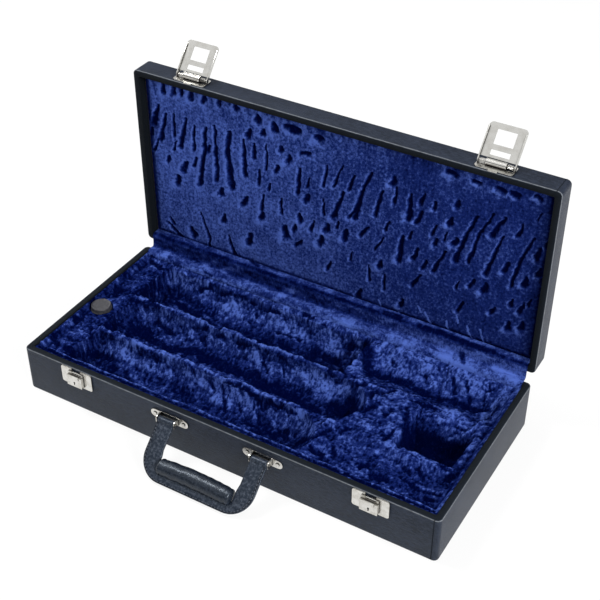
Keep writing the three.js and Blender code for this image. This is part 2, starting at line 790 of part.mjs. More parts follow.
// Hasps: drawn hanging closed from their pins, then swung up
const haspPinZ = lidRim + haspPinRise;
const barLow = haspPinZ - crossBarBottom;

function haspPlateGeometry() {
  const half = lockPlateWidth / 2;
  const low = lidRim + haspPlateInset;
  const outline = roundedOutline(-half, low, half, low + haspPlateHeight, lockPlateRadius);
  const plate = onWall(outline, fitGap, plateFace);
  const tongue = onWall(roundedOutline(-tongueWidth / 2, low - tongueLength, tongueWidth / 2,
    low + overrun, plateThickness), fitGap, plateFace);
  const roll = bar(rollRadius, rollLength, 'x', [0, -haspPinReach, haspPinZ]);
  const bore = bar(haspPinRadius + rivetHoleGap, haspWidth, 'x', [0, -haspPinReach, haspPinZ]);
  const springReach = haspSpringRadius + haspSpringWire / 2 + fitGap;
  const springEnd = rollLength / 2 + haspSpringTurns * haspSpringPitch + haspSpringWire + 2 * fitGap;
  const springWindow = boxBetween([rollLength / 2, -plateFace - overrun, haspPinZ - springReach],
    [springEnd, overrun, haspPinZ + springReach]);
  return carved(joined(plate, tongue, roll), bore, springWindow);
}

function haspGeometry() {
  const half = haspWidth / 2;
  const near = haspReach - haspThickness;
  const plate = onWall(roundedOutline(-half, -haspLength, half, -haspStart, haspTopRadius), near, haspReach);
  const squareTop = onWall(roundedOutline(-half, -haspStart - 2 * haspTopRadius, half, -haspStart,
    haspThickness), near, haspReach);
  const large = boxBetween([-windowWidth / 2, -haspReach - overrun, -windowBottom],
    [windowWidth / 2, 0, -crossBarBottom]);
  const small = boxBetween([-windowWidth / 2, -haspReach - overrun, -crossBarTop],
    [windowWidth / 2, 0, -smallWindowTop]);
  const turned = boxBetween([-half + haspTopRadius, -haspReach - lipHeight, -haspLength],
    [half - haspTopRadius, -near, -haspLength + lipThickness]);
  const pieces = [plate, squareTop, turned];
  for (const sign of [-1, 1]) {
    const outer = sign * half;
    const inner = sign * (half - flangeThickness);
    pieces.push(boxBetween([Math.min(outer, inner), -haspReach, -flangeEnd],
      [Math.max(outer, inner), -flangeLift, 0]));
    pieces.push(bar(earRadius, flangeThickness, 'x', [(outer + inner) / 2, -haspPinReach, 0]));
  }
  const bore = bar(haspPinRadius + rivetHoleGap, haspWidth + overrun, 'x', [0, -haspPinReach, 0]);
  return carved(joined(...pieces), large, small, bore).translate(0, haspPinReach, 0);
}

function addHasp(side, place) {
  addPiece(lid, `hasp_plate_${side}`, haspPlateGeometry(), 'nickel').position.set(place, -halfDepth, 0);
  addPiece(lid, `hasp_pin_${side}`, bar(haspPinRadius, haspWidth, 'x',
    [place, -halfDepth - haspPinReach, haspPinZ]), 'nickel');
  const swung = new THREE.Group();
  swung.position.set(place, -halfDepth - haspPinReach, haspPinZ);
  swung.rotation.x = -haspSwing * degree;
  lid.add(swung);
  addPiece(swung, `hasp_${side}`, haspGeometry(), 'nickel');
  const start = rollLength / 2 + fitGap + haspSpringWire / 2;
  addPiece(lid, `hasp_spring_${side}`,
    coilGeometry(haspSpringRadius, haspSpringWire, haspSpringTurns, haspSpringPitch), 'nickel')
    .position.set(place + start, -halfDepth - haspPinReach, haspPinZ);
}

// Handle brackets: plates on the front wall with two ears, a pin and two rivets each
const pivotY = -halfDepth - handlePinReach;

function bracketGeometry() {
  const half = bracketWidth / 2;
  const low = bracketRise - bracketHeight / 2;
  const plateOutline = roundedOutline(-half, low, half, low + bracketHeight, bracketHeight / 2);
  const plate = onWall(plateOutline, fitGap, plateFace);
  const earInner = legWidth / 2 + earGap;
  const ears = [-1, 1].map((sign) => {
    const outline = roundedOutline(-earReach, bracketRise - earHeight / 2, -fitGap,
      bracketRise + earHeight / 2, earHeight / 4);
    const ear = new THREE.ExtrudeGeometry(outline, {
      depth: earThickness,
      bevelEnabled: false,
      curveSegments: roundSegments,
    });
    ear.applyMatrix4(new THREE.Matrix4().set(0, 0, 1, 0, 1, 0, 0, 0, 0, 1, 0, 0, 0, 0, 0, 1));
    return ear.translate(sign > 0 ? earInner : -earInner - earThickness, 0, 0);
  });
  const bore = bar(handlePinRadius + loopBoreGap, legWidth * 2, 'x', [0, -handlePinReach, bracketRise]);
  const holes = [-1, 1].map((sign) => bar(rivetShankRadius + rivetHoleGap, 2 * plateFace + overrun, 'y',
    [sign * rivetSpacing / 2, 0, bracketRise]));
  return carved(joined(plate, ...ears), bore, ...holes);
}

function addBracket(side, place) {
  addPiece(recorderCase, `handle_plate_${side}`, bracketGeometry(), 'nickel')
    .position.set(place, -halfDepth, 0);
  const pinLength = legWidth + 2 * (earGap + earThickness + handlePinEnd);
  const pin = bar(handlePinRadius, pinLength, 'x', [place, pivotY, bracketRise]);
  addPiece(recorderCase, `handle_pin_${side}`, pin, 'nickel');
  for (const [index, sign] of [[1, -1], [2, 1]]) {
    addPiece(recorderCase, `handle_rivet_${side}_${index}`, rivetGeometry(plateFace), 'nickel')
      .position.set(place + sign * rivetSpacing / 2, -halfDepth, bracketRise);
  }
}

// The strap: two legs looped round the pins and a bridge, drawn straight out from the wall
function strapGeometry() {
  const outer = handlePlace + legWidth / 2;
  const inner = handlePlace - legWidth / 2;
  const bridge = gripStart + 2 * gripRadius - gripBite;
  const ends = inner - handleInnerRadius / 2;
  const shape = new THREE.Shape();
  shape.moveTo(outer, 0);
  const bend = outer - handleOuterRadius;
  shape.lineTo(outer, handleReach - handleOuterRadius);
  shape.absarc(bend, handleReach - handleOuterRadius, handleOuterRadius, 0, right);
  shape.absarc(-bend, handleReach - handleOuterRadius, handleOuterRadius, right, 2 * right);
  shape.lineTo(-outer, 0);
  shape.lineTo(-inner, 0);
  shape.lineTo(-inner, gripStart - handleInnerRadius);
  shape.lineTo(-ends, gripStart);
  shape.lineTo(-ends, bridge);
  shape.lineTo(ends, bridge);
  shape.lineTo(ends, gripStart);
  shape.lineTo(inner, gripStart - handleInnerRadius);
  shape.lineTo(inner, 0);
  const flat = new THREE.ExtrudeGeometry(shape, {
    depth: strapThickness,
    bevelEnabled: false,
    curveSegments: roundSegments,
  });
  flat.translate(0, 0, -strapThickness / 2).rotateX(2 * right);
  const loops = [-1, 1].map((sign) => bar(loopRadius, legWidth, 'x', [sign * handlePlace, 0, 0]));
  const bore = bar(handlePinRadius + loopBoreGap, 2 * outer + overrun, 'x');
  return carved(joined(flat, ...loops), bore);
}

function gripGeometry() {
  const ends = handlePlace - legWidth / 2 - handleInnerRadius / 2 - fitGap;
  const half = ends - gripEndBevel;
  const points = [
    new THREE.Vector2(0, -ends),
    new THREE.Vector2(gripRadius - gripEndBevel, -ends),
    new THREE.Vector2(gripRadius, -half),
    new THREE.Vector2(gripRadius, half),
    new THREE.Vector2(gripRadius - gripEndBevel, ends),
    new THREE.Vector2(0, ends),
  ];
  const roll = new THREE.LatheGeometry(points, barrelSegments).rotateZ(-right);
  roll.translate(0, -gripStart - gripRadius, 0);
  const slot = boxBetween([-ends - overrun, -handleReach, -strapThickness / 2 - fitGap],
    [ends + overrun, -gripStart - 2 * gripRadius + gripBite + fitGap, strapThickness / 2 + fitGap]);
  return carved(roll, slot);
}

// Grease pot and its screw cap
function turnedGeometry(profile) {
  return new THREE.LatheGeometry(profile.map(([r, z]) => new THREE.Vector2(r, z)), barrelSegments)
    .rotateX(right);
}

function addPot() {
  const neckTop = potShoulder + potNeckHeight;
  const potProfile = [
    [0, potBottom], [potRadius, potBottom], [potRadius, potShoulder], [potNeckRadius, potShoulder],
    [potNeckRadius, neckTop], [potNeckRadius - potWall, neckTop],
    [potNeckRadius - potWall, potBottom + potWall], [0, potBottom + potWall],
  ];
  addPiece(recorderCase, 'grease_pot', turnedGeometry(potProfile), 'potPlastic')
    .position.set(potX, potY, 0);
  const low = potShoulder + capSeatGap;
  const top = low + capHeight;
  const bore = potNeckRadius + capThreadGap;
  const capProfile = [
    [0, neckTop + fitGap], [bore, neckTop + fitGap], [bore, low], [capRadius, low],
    [capRadius, low + capRimHeight], [capRadius - capRimStep, low + capRimHeight],
    [capRadius - capRimStep, top - capRimStep], [capRadius - 2 * capRimStep, top],
    [capRadius - capWall, top], [capRadius - capWall - capRimStep, top - capRimStep],
    [0, top - capRimStep],
  ];
  addPiece(recorderCase, 'grease_pot_cap', turnedGeometry(capProfile), 'potPlastic')
    .position.set(potX, potY, 0);
}

for (const [side, sign] of [['left', -1], ['right', 1]]) {
  addHinge(side, sign * hingePlace);
  addLock(side, sign * lockPlace);
  addHasp(side, sign * lockPlace);
  addBracket(side, sign * handlePlace);
}

const handle = new THREE.Group();
handle.position.set(0, pivotY, bracketRise);
handle.rotation.x = handleDroop * degree;
recorderCase.add(handle);
addPiece(handle, 'handle_strap', strapGeometry(), 'leather');
addPiece(handle, 'handle_grip', gripGeometry(), 'leather');
addPot();

console.log('least gap in a hasp spring',
  coilGap(haspSpringRadius, haspSpringWire, haspSpringTurns, haspSpringPitch));
console.log('least gap in a lock spring',
  coilGap(lockSpringRadius, lockSpringWire, lockSpringTurns, lockSpringPitch));

export default recorderCase;
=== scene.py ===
import json
import math
import bmesh
import bpy
import numpy as np
from mathutils import Euler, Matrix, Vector


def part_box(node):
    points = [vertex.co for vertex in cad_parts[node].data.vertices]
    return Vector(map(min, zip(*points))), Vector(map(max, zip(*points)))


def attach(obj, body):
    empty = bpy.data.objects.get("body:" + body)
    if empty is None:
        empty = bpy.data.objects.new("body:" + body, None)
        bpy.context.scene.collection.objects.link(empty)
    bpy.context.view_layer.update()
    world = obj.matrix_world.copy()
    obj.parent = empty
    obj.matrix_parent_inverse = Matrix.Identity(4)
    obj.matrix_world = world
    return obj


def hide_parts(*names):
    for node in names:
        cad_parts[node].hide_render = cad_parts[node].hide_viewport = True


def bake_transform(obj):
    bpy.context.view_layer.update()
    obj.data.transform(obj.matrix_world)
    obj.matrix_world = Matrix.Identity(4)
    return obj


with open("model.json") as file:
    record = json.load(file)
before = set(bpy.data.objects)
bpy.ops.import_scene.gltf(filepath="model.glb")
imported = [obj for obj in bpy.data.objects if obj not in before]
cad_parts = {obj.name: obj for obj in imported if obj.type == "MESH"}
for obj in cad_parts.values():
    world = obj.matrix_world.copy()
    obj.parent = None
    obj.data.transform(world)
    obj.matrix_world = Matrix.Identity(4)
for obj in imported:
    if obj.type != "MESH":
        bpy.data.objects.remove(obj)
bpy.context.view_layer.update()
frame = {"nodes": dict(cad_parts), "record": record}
mm = 0.001
tiny = 1e-9


# The two corners of a CAD solid's box, in millimetres
def boxOf(node):
    low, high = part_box(node)
    return np.array(low) / mm, np.array(high) / mm


halfLength, halfDepth, trayHeight = boxOf("tray_cover")[1]
lidLow, lidHigh = boxOf("lid_cover")
rimPlane, lidFoot = lidLow[1:]       # the open lid's rim faces the front
lidBack, lidHead = lidHigh[1:]
bedFloor = boxOf("plush_bed")[0][2]
panelBack = boxOf("lid_panel")[1][1]
wall = {"thickness": 7.0, "cover": 0.8, "wrap": 10.0, "corner": 5.0, "edge": 2.5}


# A smooth step from 0 to 1 between two bounds
def ease(low, high, value):
    share = np.clip((value - low) / (high - low), 0.0, 1.0)
    return share * share * (3.0 - 2.0 * share)


# A hump: 1 in the middle, falling off as e to the minus square of the distance over the width
def bell(distance, width):
    return np.exp(-(distance / width) ** 2)


# How far along a path each of its points lies: the straight runs' lengths added up
def pathLengths(points):
    return np.concatenate([[0], np.cumsum(np.hypot(*np.diff(points, axis=0).T))])


# The points that lie at the given lengths along a path
def pathPoints(points, lengths, places):
    return np.stack([np.interp(places, lengths, points[:, k]) for k in (0, 1)], -1)


def addObject(name, data):
    item = bpy.data.objects.new(name, data)
    bpy.context.scene.collection.objects.link(item)
    return item


# Camera, solved from the corners of the tray and the lid in the photograph
cameraView = {
    "place": (482.1, -767.3, 829.0),
    "azimuth": 30.49,
    "elevation": 37.53,
    "focalPixels": 1209.0,
    "framePixels": 600.0,
    "sensor": 36.0,
    "clip": (0.05, 20.0),
}


def makeCamera(view):
    data = bpy.data.cameras.new("camera")
    data.sensor_width = view["sensor"]
    data.lens = view["focalPixels"] / view["framePixels"] * view["sensor"]
    data.clip_start, data.clip_end = view["clip"]
    camera = addObject("camera", data)
    camera.location = Vector(view["place"]) * mm
    camera.rotation_euler = Euler((math.radians(90 - view["elevation"]), 0, math.radians(view["azimuth"])))
    bpy.context.scene.camera = camera


makeCamera(cameraView)
print("camera ready")


# The photograph's pixel of each place: its offset across and up, over its depth, times the focal length
def photoPixels(x, y, z, view=cameraView):
    turn, lift = math.radians(view["azimuth"]), math.radians(view["elevation"])
    across = np.array([math.cos(turn), math.sin(turn), 0.0])
    back = np.array([math.sin(turn) * math.cos(lift), -math.cos(turn) * math.cos(lift), math.sin(lift)])
    offset = np.stack([x - view["place"][0], y - view["place"][1], z - view["place"][2]], -1)
    scale = -view["focalPixels"] / (offset @ back)
    centre = view["framePixels"] / 2
    return centre + offset @ across * scale, centre - offset @ np.cross(back, across) * scale


# The distance in pixels from each place to a stroke: to the nearest point of its straight runs
def strokeDistance(u, v, run):
    nearest = np.full(u.shape, np.inf)
    for (startU, startV), (endU, endV) in zip(run[:-1], run[1:]):
        du, dv = endU - startU, endV - startV
        share = np.clip(((u - startU) * du + (v - startV) * dv) / (du * du + dv * dv + tiny), 0.0, 1.0)
        nearest = np.minimum(nearest, np.hypot(u - startU - share * du, v - startV - share * dv))
    return nearest


strokeFade = (0.45, 1.35)            # in half widths: where a stroke starts to fade, and where it ends


# How strongly each place lies under a group of strokes: 1 on them, eased to 0 past their half widths
def underStrokes(u, v, strokes):
    cover = np.zeros(u.shape)
    for half, *run in strokes:
        full, none = (half * share for share in strokeFade)
        cover = np.maximum(cover, 1 - ease(full, none, strokeDistance(u, v, run)))
    return cover


# A shader socket that takes part in sums
class Wire:
    def __init__(self, tree, socket):
        self.tree = tree
        self.socket = socket

    def combine(self, how, first, second):
        node = self.tree.nodes.new("ShaderNodeMath")
        node.operation = how
        for slot, value in zip(node.inputs, (first, second)):
            if isinstance(value, Wire):
                self.tree.links.new(value.socket, slot)
            else:
                slot.default_value = value
        return Wire(self.tree, node.outputs[0])

    def __add__(self, other):
        return self.combine("ADD", self, other)

    def __radd__(self, other):
        return self.combine("ADD", other, self)

    def __sub__(self, other):
        return self.combine("SUBTRACT", self, other)

    def __rsub__(self, other):
        return self.combine("SUBTRACT", other, self)

    def __mul__(self, other):
        return self.combine("MULTIPLY", self, other)

    def __rmul__(self, other):
        return self.combine("MULTIPLY", other, self)


# A node tree with one way to add nodes
class Tree:
    def __init__(self, tree):
        self.tree = tree

    def node(self, kind, settings=None, values=None, out=0):
        node = self.tree.nodes.new("ShaderNode" + kind)
        for key, value in (settings or {}).items():
            setattr(node, key, value)
        for key, value in (values or {}).items():
            if isinstance(value, Wire):
                self.tree.links.new(value.socket, node.inputs[key])
            else:
                node.inputs[key].default_value = value
        return Wire(self.tree, node.outputs[out])

    # From 0 to 1, eased, while the value goes from low to high
    def spread(self, value, low, high):
        values = {"Value": value, "From Min": low, "From Max": high}
        return self.node("MapRange", {"interpolation_type": "SMOOTHSTEP"}, values)

    # The rays that see the studio as plain white: the camera's, mirrored ones and those through glass
    def plainRays(self):
        kinds = ("Is Camera Ray", "Is Glossy Ray", "Is Transmission Ray")
        return [self.node("LightPath", out=kind) for kind in kinds]


# A material and its nodes
class Finish(Tree):
    def __init__(self, name, **uniform):
        self.material = bpy.data.materials.new(name)
        self.material.use_nodes = True
        super().__init__(self.material.node_tree)
        self.shader = self.tree.nodes["Principled BSDF"]
        for socket, value in uniform.items():
            self.set(socket.replace("_", " "), value)

    def set(self, socket, value):
        target = self.shader.inputs[socket]
        if isinstance(value, Wire):
            self.tree.links.new(value.socket, target)
        else:
            target.default_value = value

    def attribute(self, name):
        return self.node("Attribute", {"attribute_name": name}, None, "Fac")

    def place(self, scale=(1, 1, 1)):
        here = self.node("TexCoord", out="Object")
        return self.node("Mapping", None, {"Vector": here, "Scale": scale})

    def noise(self, scale, detail=3.0, rough=0.5, stretch=(1, 1, 1), warp=0.0):
        values = {"Vector": self.place(stretch), "Scale": scale, "Detail": detail,
                  "Roughness": rough, "Distortion": warp}
        return self.node("TexNoise", None, values, "Fac")

    def mix(self, share, first, second):
        return self.node("Mix", {"data_type": "RGBA"}, {0: share, 6: first, 7: second}, 2)

    def bump(self, height, distance, strength=1.0):
        values = {"Height": height, "Distance": distance, "Strength": strength}
        self.set("Normal", self.node("Bump", None, values))


# near black: for dark seams and for painted shade
seamAndShadeBlack = (0.0005, 0.0008, 0.0015, 1.0)
noiseReach = (0.2, 0.8)              # where nearly all of a noise's values lie


# Plush velvet: dark to bright by each vertex's tone with painted light and shade, flecked by fine upright
# noise
velvetLook = {
    "dark": (0.0001, 0.0012, 0.02, 1.0),
    "middle": (0.0062, 0.0145, 0.098, 1.0),
    "bright": (0.062, 0.112, 0.4, 1.0),
    "toMiddle": (0.0, 0.5),
    "toBright": (0.4, 1.05),
    "rough": 0.85,
    "fleck": 0.85,
    "calmFleck": 0.51,
    "flecks": (640.0, 3.0, 0.8),
    "hairs": (330.0, 2.0, 0.6, (1.5, 0.8, 0.8), 0.8),
    "fleckBump": 0.6,
    "bump": (0.0007, 0.6),
}


def makeVelvet(name, look, fleck):
    finish = Finish(name, Roughness=look["rough"], Specular_IOR_Level=0.0)
    flecks = finish.noise(*look["flecks"])
    hairs = finish.noise(*look["hairs"])
    share = finish.attribute("toneAndShade") + (flecks - 0.5) * fleck + (hairs - 0.5) * fleck
    low = finish.mix(finish.spread(share, *look["toMiddle"]), look["dark"], look["middle"])
    finish.set("Base Color", finish.mix(finish.spread(share, *look["toBright"]), low, look["bright"]))
    finish.bump(flecks * look["fleckBump"] + hairs, *look["bump"])
    return finish.material


# Leatherette: fine grain that runs along the case, with pores and broad clouds, and a painted highlight on
# its edges
leatheretteLook = {
    "ground": (0.0018, 0.0038, 0.0105, 1.0),
    "pale": (0.0178, 0.0236, 0.0405, 1.0),
    # painted highlight on the rim's outer fold, broken up by the grain
    "edge": (0.17, 0.18, 0.19, 1.0),
    "tint": (0.7, 0.85, 1.0, 1.0),
    "gloss": 0.25,
    "grain": (620.0, 4.0, 0.7, (0.3, 1.0, 1.0), 0.6),
    "pores": (1500.0, 2.0, 0.5),
    "broad": (30.0, 3.0, 0.5),
    "broadShare": 0.25,
    "toPale": (0.36, 0.64),
    "highlightGain": 1.4,
    "rough": 0.34,
    "grainRough": 0.2,
    "seamRough": 0.5,
    "poreBump": 0.4,
    "bump": 0.0004,
}


def makeLeatherette(name, look):
    finish = Finish(name, Specular_IOR_Level=look["gloss"], Specular_Tint=look["tint"])
    grain, pores, broad = (finish.noise(*look[layer]) for layer in ("grain", "pores", "broad"))
    mottle = grain * (1 - look["broadShare"]) + broad * look["broadShare"]
    plain = finish.mix(finish.spread(mottle, *look["toPale"]), look["ground"], look["pale"])
    edgeHighlighted = finish.mix(finish.attribute("edge") * grain * look["highlightGain"], plain, look["edge"])
    seamAndShade = finish.attribute("seamAndShade")
    finish.set("Base Color", finish.mix(seamAndShade, edgeHighlighted, seamAndShadeBlack))
    uneven = finish.spread(grain, *noiseReach) * look["grainRough"]
    finish.set("Roughness", uneven + look["rough"] + seamAndShade * look["seamRough"])
    finish.bump(grain + pores * look["poreBump"], look["bump"])
    return finish.material


# Handle leather: pebbled cells over soft creases. The roll's is darker and glossier than the strap's
leatherLook = {
    "ground": (0.0105, 0.0155, 0.0255, 1.0),
    "pale": (0.05, 0.06, 0.081, 1.0),
    "tint": (0.78, 0.88, 1.0, 1.0),
    "gloss": 0.24,
    "rough": 0.2,
    "cells": 620.0,
    "cellWall": 0.25,
    "soft": (420.0, 3.0, 0.6, (1, 1, 1), 0.4),
    "toPale": (0.4, 0.72),
    "softRough": 0.08,
    "cellBump": 0.4,
    "softBump": 1.1,
    "bump": 0.0001,
}
rollLook = {
    **leatherLook,
    "ground": (0.005, 0.008, 0.014, 1.0),
    "pale": (0.017, 0.0225, 0.034, 1.0),
    "gloss": 0.4,
    "rough": 0.25,
}


def makeLeather(name, look):
    finish = Finish(name, Specular_IOR_Level=look["gloss"], Specular_Tint=look["tint"])
    spots = {"Vector": finish.place(), "Scale": look["cells"]}
    cells = finish.node("TexVoronoi", {"feature": "DISTANCE_TO_EDGE"}, spots, "Distance")
    soft = finish.noise(*look["soft"])
    plain = finish.mix(finish.spread(soft, *look["toPale"]), look["ground"], look["pale"])
    finish.set("Base Color", finish.mix(finish.attribute("seamAndShade"), plain, seamAndShadeBlack))
    finish.set("Roughness", finish.spread(soft, *noiseReach) * look["softRough"] + look["rough"])
    pebbles = finish.spread(cells, 0.0, look["cellWall"]) * look["cellBump"]
    finish.bump(pebbles + soft * look["softBump"], look["bump"])
    return finish.material


# Nickel plate: bright metal with faint brushed streaks and cloudy spots, in a plain and a cloudy colour.
# Corners and slits get painted shade, by the share of open space round each place
nickelLook = {
    "bright": ((0.68, 0.67, 0.64, 1.0), (0.5, 0.48, 0.44, 1.0)),
    # dark bevel faces: painted shade and dark reflection on the soft edges
    "edge": ((0.11, 0.105, 0.09, 1.0), (0.07, 0.065, 0.06, 1.0)),
    # near black: painted shade for the tumbler seen through the keyhole
    "dark": ((0.012, 0.012, 0.013, 1.0), (0.02, 0.02, 0.02, 1.0)),
    # a darker, shaded copy of the plate for the hasps
    "soft": ((0.6, 0.595, 0.57, 1.0), (0.5, 0.49, 0.46, 1.0)),
    "creviceShade": (0.012, 0.012, 0.014, 1.0),
    "creviceShadeReach": 0.003,
    "creviceShadeRays": 8,
    "toOpen": (0.25, 0.95),
    "cloud": (160.0, 3.0, 0.6),
    "streaks": (1500.0, 2.0, 0.5, (0.2, 1.0, 1.0)),
    "toCloudy": (0.35, 0.8),
    "rough": 0.1,
    "cloudRough": 0.1,
    "streakRough": 0.08,
    "bump": (0.00002, 0.5),
}


def makeNickel(name, look, colours):
    finish = Finish(name, Metallic=1.0)
    cloud = finish.noise(*look["cloud"])
    streaks = finish.noise(*look["streaks"])
    plate = finish.mix(finish.spread(cloud, *look["toCloudy"]), *colours)
    settings, values = {"samples": look["creviceShadeRays"]}, {"Distance": look["creviceShadeReach"]}
    space = finish.node("AmbientOcclusion", settings, values, "AO")
    finish.set("Base Color", finish.mix(finish.spread(space, *look["toOpen"]), look["creviceShade"], plate))
    finish.set("Roughness", cloud * look["cloudRough"] + streaks * look["streakRough"] + look["rough"])
    finish.bump(streaks, *look["bump"])
    return finish.material


# Plain grounds with one noise: bare board with long grain, and the pot's near black moulded plastic
boardLook = {
    "colours": ((0.36, 0.22, 0.11, 1.0), (0.52, 0.36, 0.2, 1.0)),
    "noise": (90.0, 5.0, 0.6, (0.08, 1.0, 1.0), 0.8),
    "rough": 0.75,
    "noiseRough": 0.0,
    "bump": (0.0002, 0.5),
    "gloss": 0.5,
}
potLook = {
    "colours": ((0.02, 0.02, 0.024, 1.0), (0.042, 0.042, 0.05, 1.0)),
    "noise": (400.0, 3.0, 0.6),
    "rough": 0.35,
    "noiseRough": 0.2,
    "bump": (0.00005, 0.6),
    "gloss": 0.4,
}
groundRange = (0.3, 0.7)


def makeGround(name, look):
    finish = Finish(name, Specular_IOR_Level=look["gloss"], Roughness=look["rough"])
    grain = finish.noise(*look["noise"])
    finish.set("Base Color", finish.mix(finish.spread(grain, *groundRange), *look["colours"]))
    if look["noiseRough"]:
        finish.set("Roughness", grain * look["noiseRough"] + look["rough"])
    finish.bump(grain, *look["bump"])
    return finish.material


velvet = makeVelvet("velvet", velvetLook, velvetLook["fleck"])
velvetCalm = makeVelvet("velvet_calm", velvetLook, velvetLook["calmFleck"])
leatherette = makeLeatherette("leatherette", leatheretteLook)
leather = makeLeather("leather", leatherLook)
rollLeather = makeLeather("leather_roll", rollLook)
nickel = makeNickel("nickel", nickelLook, nickelLook["bright"])
nickelEdgeShade = makeNickel("nickel_edge_shade", nickelLook, nickelLook["edge"])
nickelKeyholeShade = makeNickel("nickel_keyhole_shade", nickelLook, nickelLook["dark"])
nickelShaded = makeNickel("nickel_shaded", nickelLook, nickelLook["soft"])
boardWood = makeGround("board", boardLook)
potPlastic = makeGround("pot_plastic", potLook)
thread = Finish("thread", Base_Color=(0.045, 0.055, 0.075, 1.0), Roughness=0.7).material
print("materials ready")


# Smooth shading but for folds sharper than an angle, and the mesh put into the scene
def addPiece(name, mesh, sharp):
    mesh.polygons.foreach_set("use_smooth", np.ones(len(mesh.polygons), bool))
    mesh.set_sharp_from_angle(angle=math.radians(sharp))
    return addObject(name, mesh)


# A mesh object from vertices in millimetres and faces
def makePiece(name, vertices, faces, material, sharp=40, outward=False):
    mesh = bpy.data.meshes.new(name)
    mesh.from_pydata((np.asarray(vertices, float) * mm).tolist(), [], faces)
    if outward:
        work = bmesh.new()
        work.from_mesh(mesh)
        bmesh.ops.recalc_face_normals(work, faces=work.faces)
        work.to_mesh(mesh)
        work.free()
    mesh.materials.append(material)
    return addPiece(name, mesh, sharp)


# Hides the CAD nodes that a piece stands for, and hangs it on the body that it rides; its slot is not used
def dress(piece, slot, body, *nodes):
    if nodes:
        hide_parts(*nodes)
    if body:
        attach(piece, body)
    return piece


# A value at each vertex for the piece's material: tone with painted light and shade, a painted highlight, or
# painted shade
def setVertexShade(piece, values, name="toneAndShade"):
    attribute = piece.data.attributes.new(name, "FLOAT", "POINT")
    attribute.data.foreach_set("value", np.clip(values, 0.0, 1.2).astype(np.float32))


# Quads of a grid of rows and columns, closed round the columns where asked
def gridFaces(rows, columns, closed=False):
    across = columns if closed else columns - 1
    j, i = np.meshgrid(np.arange(rows - 1), np.arange(across), indexing="ij")
    after = (i + 1) % columns
    low = j * columns
    high = low + columns
    return np.stack([low + i, low + after, high + after, high + i], -1).reshape(-1, 4).tolist()


# A closed tube through rings of equally many points, with flat ends
def tubePiece(name, rings, material, sharp=40):
    rings = np.asarray(rings, float)
    count, around = rings.shape[:2]
    faces = gridFaces(count, around, True)
    faces.append(list(range(around - 1, -1, -1)))
    faces.append(list(range((count - 1) * around, count * around)))
    return makePiece(name, rings.reshape(-1, 3), faces, material, sharp, True)


lattice = {"size": 128, "offsetX": 31.7, "offsetY": 17.3, "gain": 1.6}


# Gradient noise from about -1 to 1: each lattice corner's slope times the distance to it, eased together
def softNoise(x, y, sizeX, sizeY, seed):
    size = lattice["size"]
    angles = np.random.default_rng(seed).random((size, size)) * 2 * np.pi
    u = np.asarray(x) / sizeX + lattice["offsetX"]
    v = np.asarray(y) / sizeY + lattice["offsetY"]
    i = np.floor(u).astype(int)
    j = np.floor(v).astype(int)
    u = u - i
    v = v - j

    def corner(right, up):
        angle = angles[(i + right) % size, (j + up) % size]
        return np.cos(angle) * (u - right) + np.sin(angle) * (v - up)

    s = ease(0.0, 1.0, u)
    t = ease(0.0, 1.0, v)
    low = corner(0, 0) * (1 - s) + corner(1, 0) * s
    high = corner(0, 1) * (1 - s) + corner(1, 1) * s
    return (low * (1 - t) + high * t) * lattice["gain"]


# Several sizes of soft noise added up, each at half the size and the given share of the height
def roughNoise(x, y, sizeX, sizeY, seed, octaves=3, share=0.5):
    total = 0.0
    for step in range(octaves):
        total = total + softNoise(x, y, sizeX / 2 ** step, sizeY / 2 ** step, seed + step) * share ** step
    return total


crumpleShape = {"bendSize": 2.2, "bend": 0.6, "round": 0.8, "small": 0.45, "mean": 0.45,
                "line": 0.2, "smallLine": 0.3}


# Crumpled cloth: puffs of the noise's size of change, with a sharp crease wherever it crosses zero
def crumple(x, y, sizeX, sizeY, seed, shape=crumpleShape):
    wide = shape["bendSize"]
    bendX = softNoise(x, y, sizeX * wide, sizeY * wide, seed + 7) * sizeX * shape["bend"]
    bendY = softNoise(x, y, sizeX * wide, sizeY * wide, seed + 8) * sizeY * shape["bend"]
    first = softNoise(x + bendX, y + bendY, sizeX, sizeY, seed)
    second = softNoise(x + bendY, y - bendX, sizeX / 2, sizeY / 2, seed + 1)
    puff = np.abs(first) ** shape["round"] + shape["small"] * np.abs(second) ** shape["round"]
    crease = bell(first, shape["line"]) + shape["smallLine"] * bell(second, shape["line"])
    return puff - shape["mean"], crease


